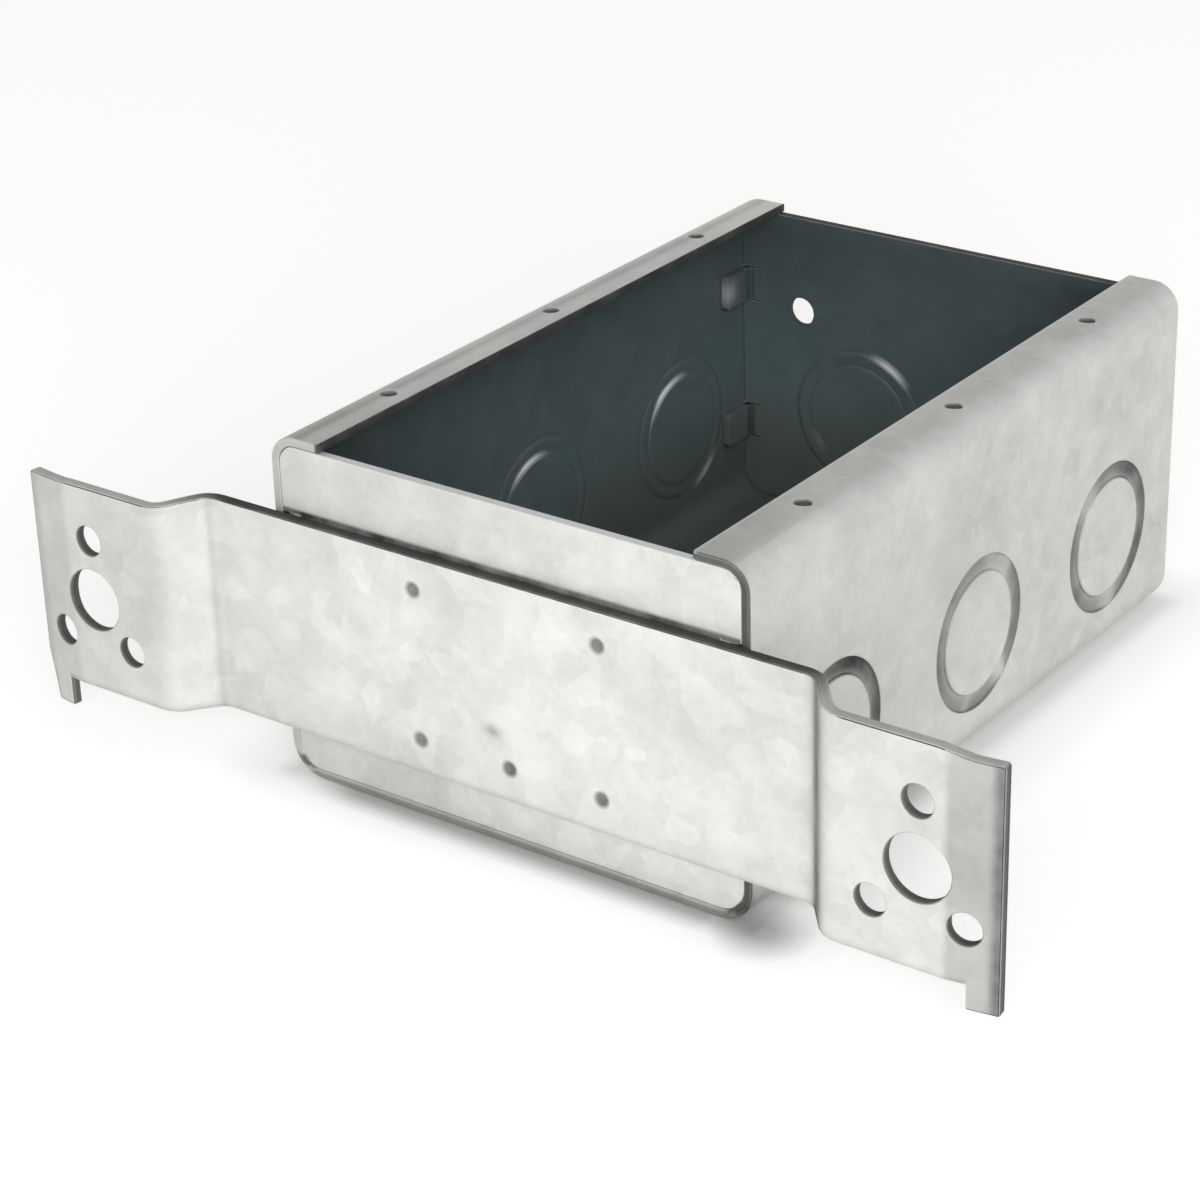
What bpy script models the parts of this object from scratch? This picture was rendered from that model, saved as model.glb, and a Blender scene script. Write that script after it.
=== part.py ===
"""Three-gang sheet-steel wiring box with a welded stud bracket.

The box lies on its back with its open mouth up. X runs across the width of the
mouth and along the bracket, Y runs along the row of gangs, Z runs from the
underside of the floor to the rim. The origin is the middle of the underside.
Lengths are in metres.

The body is one strip folded into two long sides, a floor and two narrow rim
flanges. Each end is a flat plate that slips inside the fold and is held by
small tabs bent against the long sides. The bracket is one strap across the
near end, joggled forward at both ends into ears for the stud.
"""

import math

import bmesh
import bpy
from mathutils import Vector

# Folded body; its length is that of its gangs and of a margin at each end
BOX_WIDTH = 0.09525
BOX_DEPTH = 0.0635
GANGS = 3
GANG_PITCH = 0.04604
END_MARGIN = 0.02381
SHEET = 0.0016
FLANGE_WIDTH = 0.0103
RIM_BEND = 0.005
FLOOR_BEND = 0.0064
SEAM_GAP = 0.0003

# Device screw holes in the rim flanges, with the collars drawn below them.
# The inset is from the long side, and leaves 83.3 mm across the mouth.
SCREW_INSET = 0.005975
SCREW_HOLE = 0.0034
COLLAR_WALL = 0.0008
COLLAR_DROP = 0.0011

# Concentric knockouts: a small slug inside a large one
SLUG_LARGE = 0.0282
SLUG_SMALL = 0.0222
SLUG_RISE = 0.0005
OUTER_GROOVE_WIDTH = 0.0016
OUTER_GROOVE_DEPTH = 0.0006
INNER_GROOVE_WIDTH = 0.0008
INNER_GROOVE_DEPTH = 0.0005
SMALL_GROOVE_WIDTH = 0.0005
SMALL_GROOVE_DEPTH = 0.0003
SLUG_ABOVE_BEND = 0.0023
END_SLUG_INWARD = 0.00146

# Ground screw hole in the floor
GROUND_HOLE = 0.0042

# End plates and their weld tabs
PLATE_BEND = 0.0022
TAB_TO_SLUG = 0.0003
TAB_WIDTH = 0.0067
TAB_ABOVE_BASE = 0.0172
TAB_BELOW_RIM = 0.0172
RELIEF_WIDTH = 0.0007
RELIEF_DEPTH = 0.0026
NAIL_HOLE = 0.0056
NAIL_HOLE_INSET = 0.0152
NAIL_HOLE_ABOVE_SLUG = 0.0198

# Stud bracket
BRACKET_SHEET = 0.0020
BRACKET_LENGTH = 0.1934
BRACKET_HEIGHT = 0.0400
BRACKET_BELOW_RIM = 0.0138
EAR_LENGTH = 0.0359
EAR_TOP_DROP = 0.0010
JOGGLE_RISE = 0.00735
JOGGLE_ANGLE = math.radians(51)
JOGGLE_BEND = 0.0036
EAR_TIP_WIDTH = 0.0087
EAR_TIP_ANGLE = math.radians(8.5)
EAR_TIP_BEND = 0.0080
EAR_CORNER = 0.0010
PRONG_WIDTH = 0.0055
PRONG_DROP = 0.0042
PRONG_TAPER = 0.0012

# Holes in each ear: one large, three small around it
EAR_HOLE = 0.0120
EAR_HOLE_INSET = 0.0138
EAR_HOLE_BELOW_MIDDLE = 0.0025
EAR_SMALL_HOLE = 0.0060
EAR_SMALL_CIRCLE = 0.0113
EAR_SMALL_ANGLES = (math.radians(90), math.radians(225), math.radians(315))

# Spot welds between bracket and near end plate
WELD_DIMPLE = 0.0046
WELD_DEPTH = 0.0004
WELD_PITCH = 0.0185
WELD_INSET = 0.0062

# Facets
BEND_STEPS = 7
SMALL_BEND_STEPS = 5
SLUG_SIDES = 32
HOLE_SIDES = 24
SMALL_SIDES = 16
OVERCUT = 0.0010

HALF_WIDTH = BOX_WIDTH / 2
HALF_SHEET = SHEET / 2
INNER_HALF_WIDTH = HALF_WIDTH - SHEET
GANG_PLACES = [(i - (GANGS - 1) / 2) * GANG_PITCH for i in range(GANGS)]
HALF_LENGTH = GANG_PLACES[-1] + END_MARGIN
SLUG_HEIGHT = FLOOR_BEND + SLUG_ABOVE_BEND + SLUG_LARGE / 2
TAB_LENGTH = END_MARGIN - SLUG_LARGE / 2 - TAB_TO_SLUG
NOTCH_PLACE = INNER_HALF_WIDTH - SEAM_GAP - PLATE_BEND - RELIEF_DEPTH
END_SLUG_PLACE = NOTCH_PLACE / 2 - END_SLUG_INWARD
NAIL_HOLE_PLACE = HALF_WIDTH - NAIL_HOLE_INSET
BRACKET_END = BRACKET_LENGTH / 2
BRACKET_TOP = BOX_DEPTH - BRACKET_BELOW_RIM
BRACKET_BOTTOM = BRACKET_TOP - BRACKET_HEIGHT
JOGGLE_START = BRACKET_END - EAR_LENGTH
JOGGLE_STOP = JOGGLE_START + JOGGLE_RISE / math.tan(JOGGLE_ANGLE)


def clear_scene():
    """Remove every object, so the model starts from an empty scene."""
    for obj in list(bpy.data.objects):
        bpy.data.objects.remove(obj, do_unlink=True)


def make_material(name, colour, roughness, metallic):
    """A plain metal finish for one sub-part."""
    material = bpy.data.materials.new(name)
    material.use_nodes = True
    shader = material.node_tree.nodes["Principled BSDF"]
    shader.inputs["Base Color"].default_value = (*colour, 1.0)
    shader.inputs["Roughness"].default_value = roughness
    shader.inputs["Metallic"].default_value = metallic
    return material


def unit(a, b):
    """Unit vector from point a to point b."""
    return (b - a).normalized()


def left_of(direction):
    """The direction turned a quarter turn to the left."""
    return Vector((-direction.y, direction.x))


def sheet_section(corners, radii, steps, thickness):
    """Closed section of a bent sheet.

    corners are the points of its middle line, radii the bend radii of that
    line at the inner corners. Both faces turn about the same bend centres.
    """
    points = [Vector(p) for p in corners]
    sides = {1: [], -1: []}
    first = left_of(unit(points[0], points[1]))
    for side in sides:
        sides[side].append(points[0] + first * side * thickness / 2)
    for i, radius in enumerate(radii, start=1):
        before = unit(points[i - 1], points[i])
        after = unit(points[i], points[i + 1])
        turn = math.atan2(before.cross(after), before.dot(after))
        hand = math.copysign(1, turn)
        reach = radius * math.tan(abs(turn) / 2)
        centre = points[i] - before * reach + left_of(before) * hand * radius
        start = -left_of(before) * hand
        for k in range(steps + 1):
            angle = turn * k / steps
            spoke = Vector((
                start.x * math.cos(angle) - start.y * math.sin(angle),
                start.x * math.sin(angle) + start.y * math.cos(angle),
            ))
            for side in sides:
                sides[side].append(centre + spoke * (radius - hand * side * thickness / 2))
    last = left_of(unit(points[-2], points[-1]))
    for side in sides:
        sides[side].append(points[-1] + last * side * thickness / 2)
    return sides[1] + sides[-1][::-1]


def rounded_outline(corners, radii, steps):
    """Closed outline whose corners are arcs of the given radii; 0 is sharp."""
    points = [Vector(p) for p in corners]
    outline = []
    for i, radius in enumerate(radii):
        before = unit(points[i - 1], points[i])
        after = unit(points[i], points[(i + 1) % len(points)])
        if radius <= 0:
            outline.append(points[i])
            continue
        turn = math.atan2(before.cross(after), before.dot(after))
        hand = math.copysign(1, turn)
        reach = radius * math.tan(abs(turn) / 2)
        centre = points[i] - before * reach + left_of(before) * hand * radius
        start = -left_of(before) * hand
        for k in range(steps + 1):
            angle = turn * k / steps
            outline.append(centre + radius * Vector((
                start.x * math.cos(angle) - start.y * math.sin(angle),
                start.x * math.sin(angle) + start.y * math.cos(angle),
            )))
    return outline


def add_prism(mesh, outline, place, low, high):
    """Extrude a closed outline from low to high; place(u, v, w) gives the point."""
    count = len(outline)
    bottom = [mesh.verts.new(place(p.x, p.y, low)) for p in outline]
    top = [mesh.verts.new(place(p.x, p.y, high)) for p in outline]
    mesh.faces.new(bottom[::-1])
    mesh.faces.new(top)
    for i in range(count):
        j = (i + 1) % count
        mesh.faces.new((bottom[i], bottom[j], top[j], top[i]))


def add_box(mesh, low, high):
    """An upright block between two opposite corners."""
    outline = [Vector((low[0], low[1])), Vector((high[0], low[1])),
               Vector((high[0], high[1])), Vector((low[0], high[1]))]
    add_prism(mesh, outline, place_flat, low[2], high[2])


def across(direction):
    """Two unit vectors square to the direction and to each other."""
    helper = Vector((0, 0, 1)) if abs(direction.z) < 0.5 else Vector((1, 0, 0))
    first = direction.cross(helper).normalized()
    return first, direction.cross(first).normalized()


def add_round(mesh, start, end, radius, sides):
    """A straight round bar from start to end."""
    start, end = Vector(start), Vector(end)
    u, v = across((end - start).normalized())
    spokes = [u * math.cos(a) + v * math.sin(a)
              for a in (2 * math.pi * k / sides for k in range(sides))]
    low = [mesh.verts.new(start + s * radius) for s in spokes]
    high = [mesh.verts.new(end + s * radius) for s in spokes]
    mesh.faces.new(low[::-1])
    mesh.faces.new(high)
    for i in range(sides):
        j = (i + 1) % sides
        mesh.faces.new((low[i], low[j], high[j], high[i]))


def add_ring(mesh, start, end, inner, outer, sides):
    """A round ring with a square section, from start to end along its axis."""
    start, end = Vector(start), Vector(end)
    u, v = across((end - start).normalized())
    spokes = [u * math.cos(a) + v * math.sin(a)
              for a in (2 * math.pi * k / sides for k in range(sides))]
    rims = [(start, outer), (end, outer), (end, inner), (start, inner)]
    loops = [[mesh.verts.new(c + s * r) for s in spokes] for c, r in rims]
    for a, b in zip(loops, loops[1:] + loops[:1]):
        for i in range(sides):
            j = (i + 1) % sides
            mesh.faces.new((a[i], a[j], b[j], b[i]))


def place_flat(u, v, w):
    """Outline in X and Y, extruded along Z."""
    return Vector((u, v, w))


def place_end(u, v, w):
    """Outline in X and Z, extruded along Y."""
    return Vector((u, w, v))


def finish_object(name, mesh, material=None):
    """Turn the built mesh into a named object with its faces pointing out."""
    bmesh.ops.recalc_face_normals(mesh, faces=mesh.faces)
    data = bpy.data.meshes.new(name)
    mesh.to_mesh(data)
    mesh.free()
    obj = bpy.data.objects.new(name, data)
    bpy.context.scene.collection.objects.link(obj)
    if material is not None:
        data.materials.append(material)
        data.shade_smooth()
        data.set_sharp_from_angle(angle=math.radians(30))
    return obj


def make_tool(name, build):
    """A hidden shape that only cuts, trims or thickens another one."""
    mesh = bmesh.new()
    build(mesh)
    tool = finish_object(name, mesh)
    tool.hide_render = True
    tool.display_type = "WIRE"
    return tool


def apply_tool(target, tool, operation):
    """Add a Boolean step to the target."""
    step = target.modifiers.new(tool.name, "BOOLEAN")
    step.operation = operation
    step.solver = "EXACT"
    step.object = tool


def cut_knockout(mesh, centre, outward):
    """Grooves of one concentric knockout, centred on the sheet's outer face."""
    centre, outward = Vector(centre), Vector(outward)
    above = centre + outward * OVERCUT
    inner_face = centre - outward * SHEET
    below = inner_face - outward * (OVERCUT + SLUG_RISE)
    large, small = SLUG_LARGE / 2, SLUG_SMALL / 2
    add_ring(mesh, above, centre - outward * OUTER_GROOVE_DEPTH,
             large - OUTER_GROOVE_WIDTH, large, SLUG_SIDES)
    add_ring(mesh, above, centre - outward * SMALL_GROOVE_DEPTH,
             small - SMALL_GROOVE_WIDTH, small, SLUG_SIDES)
    add_ring(mesh, below, inner_face + outward * INNER_GROOVE_DEPTH,
             large - INNER_GROOVE_WIDTH, large, SLUG_SIDES)


def raise_knockout(mesh, centre, outward):
    """The small slug of a knockout, standing slightly into the box."""
    centre, outward = Vector(centre), Vector(outward)
    add_round(mesh, centre - outward * HALF_SHEET, centre - outward * (SHEET + SLUG_RISE),
              SLUG_SMALL / 2, SLUG_SIDES)


def body_knockouts():
    """Centre and outward direction of each knockout in the folded body."""
    places = []
    for y in GANG_PLACES:
        places.append(((HALF_WIDTH, y, SLUG_HEIGHT), (1, 0, 0)))
        places.append(((-HALF_WIDTH, y, SLUG_HEIGHT), (-1, 0, 0)))
        places.append(((0, y, 0), (0, 0, -1)))
    return places


def screw_places():
    """Middle of each device screw hole, on top of the rim flanges."""
    x = HALF_WIDTH - SCREW_INSET
    return [(side * x, y, BOX_DEPTH) for side in (-1, 1) for y in GANG_PLACES]


def ground_place():
    """Middle of the ground screw hole, on the floor between two gangs."""
    return (0, GANG_PLACES[-1] - GANG_PITCH / 2, SHEET)


def make_body(material):
    """The folded body: floor, two long sides and two rim flanges in one sheet."""
    edge = HALF_WIDTH - FLANGE_WIDTH
    side = HALF_WIDTH - HALF_SHEET
    top = BOX_DEPTH - HALF_SHEET
    rim = RIM_BEND - HALF_SHEET
    foot = FLOOR_BEND - HALF_SHEET
    section = sheet_section(
        [(-edge, top), (-side, top), (-side, HALF_SHEET),
         (side, HALF_SHEET), (side, top), (edge, top)],
        [rim, foot, foot, rim], BEND_STEPS, SHEET)
    mesh = bmesh.new()
    add_prism(mesh, section, place_end, -HALF_LENGTH, HALF_LENGTH)
    body = finish_object("box_body", mesh, material)

    def thicken(mesh):
        for centre, outward in body_knockouts():
            raise_knockout(mesh, centre, outward)
        for x, y, z in screw_places():
            add_round(mesh, (x, y, z - HALF_SHEET), (x, y, z - SHEET - COLLAR_DROP),
                      SCREW_HOLE / 2 + COLLAR_WALL, SMALL_SIDES)
        x, y, z = ground_place()
        add_round(mesh, (x, y, z - HALF_SHEET), (x, y, z + COLLAR_DROP),
                  GROUND_HOLE / 2 + COLLAR_WALL, SMALL_SIDES)

    def cut(mesh):
        for centre, outward in body_knockouts():
            cut_knockout(mesh, centre, outward)
        for x, y, z in screw_places():
            add_round(mesh, (x, y, z + OVERCUT), (x, y, z - SHEET - COLLAR_DROP - OVERCUT),
                      SCREW_HOLE / 2, SMALL_SIDES)
        x, y, z = ground_place()
        add_round(mesh, (x, y, -OVERCUT), (x, y, z + COLLAR_DROP + OVERCUT),
                  GROUND_HOLE / 2, SMALL_SIDES)

    apply_tool(body, make_tool("body_raised", thicken), "UNION")
    apply_tool(body, make_tool("body_cuts", cut), "DIFFERENCE")
    return body


def plate_outline():
    """Outline of an end plate in X and Z, seated inside the folded body."""
    half = INNER_HALF_WIDTH - SEAM_GAP
    low = SHEET + SEAM_GAP
    high = BOX_DEPTH - SHEET - SEAM_GAP
    round_top = max(RIM_BEND - SHEET - SEAM_GAP, 0)
    round_low = max(FLOOR_BEND - SHEET - SEAM_GAP, 0)
    corners = [(half, low), (half, high), (-half, high), (-half, low)]
    radii = [round_low, round_top, round_top, round_low]
    return rounded_outline(corners, radii, BEND_STEPS)


def tab_spans():
    """Lower and upper edge of each weld tab."""
    middles = (TAB_ABOVE_BASE, BOX_DEPTH - TAB_BELOW_RIM)
    return [(z - TAB_WIDTH / 2, z + TAB_WIDTH / 2) for z in middles]


def make_end_plate(name, end, material, knockouts):
    """One end plate; end is -1 for the near end and 1 for the far end.

    It starts as a tray with a leg along each long side. The outline trims its
    corners, and what is cut from the legs leaves the weld tabs.
    """
    face = HALF_LENGTH
    half = INNER_HALF_WIDTH - SEAM_GAP
    middle = half - HALF_SHEET
    bend = PLATE_BEND - HALF_SHEET
    section = sheet_section(
        [(-middle, face - TAB_LENGTH), (-middle, face - HALF_SHEET),
         (middle, face - HALF_SHEET), (middle, face - TAB_LENGTH)],
        [bend, bend], SMALL_BEND_STEPS, SHEET)

    def place(u, v, w):
        return Vector((u, end * v, w))

    mesh = bmesh.new()
    add_prism(mesh, section, place, 0, BOX_DEPTH)
    plate = finish_object(name, mesh, material)

    def outline(mesh):
        add_prism(mesh, plate_outline(), place_end, *sorted(
            (end * (face + OVERCUT), end * (face - TAB_LENGTH - OVERCUT))))

    def leg_box(mesh, inner_x, near_y, z_low, z_high):
        outer_x = half + OVERCUT
        far_y = face - TAB_LENGTH - OVERCUT
        for side in (-1, 1):
            xs = sorted((side * inner_x, side * outer_x))
            ys = sorted((end * near_y, end * far_y))
            add_box(mesh, (xs[0], ys[0], z_low), (xs[1], ys[1], z_high))

    def between_tabs(mesh):
        spans = tab_spans()
        lows = [-OVERCUT] + [high for _, high in spans]
        highs = [low for low, _ in spans] + [BOX_DEPTH + OVERCUT]
        for z_low, z_high in zip(lows, highs):
            leg_box(mesh, half - PLATE_BEND - OVERCUT, face - SHEET, z_low, z_high)

    def reliefs(mesh):
        for low, high in tab_spans():
            for z_low, z_high in ((low - RELIEF_WIDTH, low), (high, high + RELIEF_WIDTH)):
                leg_box(mesh, NOTCH_PLACE, face + OVERCUT, z_low, z_high)

    apply_tool(plate, make_tool(name + "_outline", outline), "INTERSECT")
    apply_tool(plate, make_tool(name + "_legs", between_tabs), "DIFFERENCE")
    apply_tool(plate, make_tool(name + "_reliefs", reliefs), "DIFFERENCE")

    centres = [(side * END_SLUG_PLACE, end * face, SLUG_HEIGHT) for side in (-1, 1)]

    def raised(mesh):
        for centre in centres:
            raise_knockout(mesh, centre, (0, end, 0))

    def holes(mesh):
        for centre in centres:
            cut_knockout(mesh, centre, (0, end, 0))
        for side in (-1, 1):
            x = side * NAIL_HOLE_PLACE
            z = SLUG_HEIGHT + NAIL_HOLE_ABOVE_SLUG
            add_round(mesh, (x, end * (face + OVERCUT), z), (x, end * (face - SHEET - OVERCUT), z),
                      NAIL_HOLE / 2, SMALL_SIDES)

    def weld_marks(mesh):
        for x, z in weld_places():
            add_round(mesh, (x, end * (face - SHEET - OVERCUT), z),
                      (x, end * (face - SHEET + WELD_DEPTH), z), WELD_DIMPLE / 2, SMALL_SIDES)

    if knockouts:
        apply_tool(plate, make_tool(name + "_raised", raised), "UNION")
        apply_tool(plate, make_tool(name + "_holes", holes), "DIFFERENCE")
    else:
        apply_tool(plate, make_tool(name + "_welds", weld_marks), "DIFFERENCE")
    return plate


def weld_places():
    """X and Z of each spot weld between the bracket and the near end plate."""
    upper = BRACKET_TOP - WELD_INSET
    lower = BRACKET_BOTTOM + WELD_INSET
    return [(-WELD_PITCH, upper), (WELD_PITCH, upper),
            (-WELD_PITCH, lower), (0, lower), (WELD_PITCH, lower)]


def bracket_section():
    """Section of the bracket in X and Y: flat middle, joggles, ears, bent tips."""
    middle = -HALF_LENGTH - SEAM_GAP - BRACKET_SHEET / 2
    ear = middle - JOGGLE_RISE
    tip = BRACKET_END - EAR_TIP_WIDTH
    right = [(JOGGLE_START, middle), (JOGGLE_STOP, ear), (tip, ear),
             (BRACKET_END, ear + EAR_TIP_WIDTH * math.tan(EAR_TIP_ANGLE))]
    left = [(-x, y) for x, y in reversed(right)]
    radii = [EAR_TIP_BEND, JOGGLE_BEND, JOGGLE_BEND, JOGGLE_BEND, JOGGLE_BEND, EAR_TIP_BEND]
    return sheet_section(left + right, radii, BEND_STEPS, BRACKET_SHEET)


def bracket_outline():
    """Outline of the bracket in X and Z, with a prong at each outer lower corner.

    Its upper edge comes down a little over each joggle.
    """
    end = BRACKET_END
    ear_top = BRACKET_TOP - EAR_TOP_DROP
    prong_low = BRACKET_BOTTOM - PRONG_DROP
    right = [(JOGGLE_START, BRACKET_TOP), (JOGGLE_STOP, ear_top),
             (end, ear_top), (end, BRACKET_BOTTOM + PRONG_DROP),
             (end - PRONG_TAPER, prong_low), (end - PRONG_WIDTH, prong_low),
             (end - PRONG_WIDTH, BRACKET_BOTTOM)]
    left = [(-x, z) for x, z in reversed(right)]
    sharp = EAR_CORNER / 2
    radii = [0, 0, EAR_CORNER, 0, sharp, sharp, 0]
    return rounded_outline(right + left, radii + radii[::-1], SMALL_BEND_STEPS)


def ear_holes():
    """X, Z and diameter of every hole in the ears."""
    holes = []
    height = (BRACKET_TOP + BRACKET_BOTTOM) / 2 - EAR_HOLE_BELOW_MIDDLE
    for side in (-1, 1):
        x = side * (BRACKET_END - EAR_HOLE_INSET)
        holes.append((x, height, EAR_HOLE, HOLE_SIDES))
        for angle in EAR_SMALL_ANGLES:
            holes.append((x + EAR_SMALL_CIRCLE * math.cos(angle),
                          height + EAR_SMALL_CIRCLE * math.sin(angle),
                          EAR_SMALL_HOLE, SMALL_SIDES))
    return holes


def make_bracket(material):
    """The stud bracket: one strap, bent, trimmed to its outline and pierced."""
    front = -HALF_LENGTH - SEAM_GAP - BRACKET_SHEET
    reach = JOGGLE_RISE + BRACKET_SHEET + OVERCUT
    mesh = bmesh.new()
    add_prism(mesh, bracket_section(), place_flat,
              BRACKET_BOTTOM - PRONG_DROP - OVERCUT, BRACKET_TOP + OVERCUT)
    bracket = finish_object("stud_bracket", mesh, material)

    def outline(mesh):
        add_prism(mesh, bracket_outline(), place_end, front - reach, -HALF_LENGTH + OVERCUT)

    def cuts(mesh):
        for x, z, size, sides in ear_holes():
            add_round(mesh, (x, front - reach, z), (x, front + OVERCUT, z), size / 2, sides)
        for x, z in weld_places():
            add_round(mesh, (x, front - OVERCUT, z), (x, front + WELD_DEPTH, z),
                      WELD_DIMPLE / 2, SMALL_SIDES)

    apply_tool(bracket, make_tool("bracket_outline", outline), "INTERSECT")
    apply_tool(bracket, make_tool("bracket_cuts", cuts), "DIFFERENCE")
    return bracket


def main():
    clear_scene()
    body_finish = make_material("galvanised_body", (0.60, 0.60, 0.58), 0.45, 0.85)
    plate_finish = make_material("galvanised_plate", (0.66, 0.66, 0.63), 0.45, 0.85)
    bracket_finish = make_material("galvanised_bracket", (0.70, 0.70, 0.67), 0.48, 0.85)
    make_body(body_finish)
    make_end_plate("near_end_plate", -1, plate_finish, knockouts=False)
    make_end_plate("far_end_plate", 1, plate_finish, knockouts=True)
    make_bracket(bracket_finish)


main()
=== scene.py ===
"""Visual model of a three-gang sheet-steel wiring box with a welded stud bracket.

Every piece is one bent sheet. Its flat pattern is a grid in two lengths, s along
the bends' section and t across it. Round features replace patches of that grid
by rings, cut edges get a rounded rim, and the pattern is then folded along its
section. Lengths are in metres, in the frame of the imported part.
"""

import math

import bpy
import numpy as np
from bpy.props import FloatProperty, FloatVectorProperty, IntProperty, PointerProperty
from mathutils import Matrix, Vector


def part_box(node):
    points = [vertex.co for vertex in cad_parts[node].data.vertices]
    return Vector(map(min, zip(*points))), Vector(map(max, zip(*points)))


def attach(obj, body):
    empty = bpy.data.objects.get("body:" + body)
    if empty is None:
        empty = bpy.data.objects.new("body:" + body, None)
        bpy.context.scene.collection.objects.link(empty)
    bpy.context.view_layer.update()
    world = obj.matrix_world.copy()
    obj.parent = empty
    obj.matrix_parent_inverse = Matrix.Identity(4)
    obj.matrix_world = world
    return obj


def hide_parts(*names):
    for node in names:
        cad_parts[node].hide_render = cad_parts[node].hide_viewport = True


bl_info = {
    "name": "Wiring box",
    "version": (1, 0, 0),
    "blender": (4, 5, 0),
    "location": "3D View > Sidebar > Wiring Box",
    "description": "Folded, pierced and welded sheet-steel wiring box with a stud bracket",
    "category": "Add Mesh",
}

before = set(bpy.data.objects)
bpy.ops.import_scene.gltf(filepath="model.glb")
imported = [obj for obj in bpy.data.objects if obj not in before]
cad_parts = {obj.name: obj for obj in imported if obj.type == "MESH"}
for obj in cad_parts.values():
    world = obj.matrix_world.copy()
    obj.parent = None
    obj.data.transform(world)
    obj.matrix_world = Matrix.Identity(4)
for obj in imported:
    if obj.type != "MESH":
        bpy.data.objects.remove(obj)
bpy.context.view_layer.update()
BODY_LOW, BODY_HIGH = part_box("box_body")
BRACKET_LOW, BRACKET_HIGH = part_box("stud_bracket")

QUARTER = math.pi / 2
# Marks painted on each mesh: cut edges; darkening, for dirt and painted shade; lightening, for wear and
# painted highlights; the inner face, which gets the inside's painted shade; and weld heat, also used in the
# painted shade of the bracket's tips.
MARKS = ("cut", "grime", "rub", "inside", "heat")
# Columns of a vertex table: place in the pattern, height off the middle line,
# three marks (cut; darkening, for dirt and painted shade; lightening, for wear
# and painted highlights), and the face that a vertex lies on, from 1 (front) to -1 (back).
S, T, HEIGHT, CUT, GRIME_AND_SHADE, RUB_AND_HIGHLIGHT, SIDE = range(7)
# Reach and step of the closer grid lines round screw holes, nail holes and welds
SCREW_ZONE, NAIL_ZONE, WELD_ZONE = (0.004, 0.0009), (0.005, 0.0008), (0.0032, 0.0008)
# How far past its outer ring a knockout may take over the grid
KNOCKOUT_ROOM = 0.0024
# Turn from +Y, tilt below the horizon and roll in degrees, place, and focal length in mm
CAMERA_ANGLES = (36.7393, 25.96823, -1.763768)
CAMERA_PLACE = (0.29623714, -0.44068585, 0.27570569)
CAMERA_LENS = 99.018


# Properties


def length(name, description, default):
    """A length property in metres."""
    return FloatProperty(name=name, description=description, default=default,
                         unit="LENGTH", precision=5, min=0.0)


def angle(name, description, degrees):
    """An angle property, given in degrees."""
    return FloatProperty(name=name, description=description, default=math.radians(degrees),
                         unit="ROTATION", min=0.0)


def colour(name, description, default):
    """A linear colour property."""
    return FloatVectorProperty(name=name, description=description, default=default,
                               subtype="COLOR", size=3, min=0.0, max=1.0)


class BoxSizes(bpy.types.PropertyGroup):
    """Sizes of the folded body and its end plates."""

    width: length("Width", "Across the mouth, outside", BODY_HIGH.x - BODY_LOW.x)
    depth: length("Depth", "From the underside to the rim", BODY_HIGH.z - BODY_LOW.z)
    box_length: length("Length", "Along the gangs, outside", BODY_HIGH.y - BODY_LOW.y)
    sheet: length("Sheet", "Thickness of the steel", 0.0016)
    flange: length("Flange", "Width of each rim flange", 0.0103)
    rim_bend: length("Rim bend", "Outer radius at the rim", 0.005)
    floor_bend: length("Floor bend", "Outer radius at the floor", 0.0064)
    plate_bend: length("Tab bend", "Outer radius where a weld tab turns", 0.0022)
    seam: length("Seam", "Gap between the plates and the body", 0.0001)
    gangs: IntProperty(name="Gangs", description="Devices side by side", default=3, min=1)
    gang_pitch: length("Gang pitch", "From one device to the next", 0.04604)
    screw_inset: length("Screw inset", "From the side to a device screw", 0.005975)
    screw_hole: length("Screw hole", "Diameter of a device screw hole", 0.0028)
    ground_hole: length("Ground hole", "Diameter of the ground screw hole", 0.0042)
    collar_wall: length("Collar wall", "Thickness of the collar under a screw hole", 0.0008)
    collar_drop: length("Collar drop", "How far a collar stands past the sheet", 0.0011)
    thread_pitch: length("Thread pitch", "From one thread to the next", 0.00079)
    slug_large: length("Large knockout", "Diameter of the outer ring", 0.0282)
    slug_small: length("Small knockout", "Diameter of the inner ring", 0.0222)
    slug_height: length("Knockout height", "Centre above the underside", 0.0228)
    end_slug: length("End knockouts", "Centre beside the middle of an end plate", 0.0190025)
    slug_recess: length("Recess", "How far the outer ring lies below the face", 0.0006)
    slug_raise: length("Raise", "How far a small slug stands into the box", 0.00035)
    nail_hole: length("Nail hole", "Diameter of a nail hole in the far plate", 0.0056)
    nail_height: length("Nail hole height", "Centre above the underside", 0.0426)
    nail_place: length("Nail hole place", "Centre beside the middle", 0.032425)
    tab_width: length("Tab width", "Height of each weld tab", 0.0067)
    tab_inset: length("Tab inset", "From underside and rim to a tab's middle", 0.0172)
    tab_weld: length("Tab weld", "From the end of the box to a tab's weld", 0.0055)
    relief: length("Relief", "Width of the notch beside each tab", 0.00012)
    relief_depth: length("Relief depth", "Reach of the notch into the plate", 0.0016)


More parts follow.
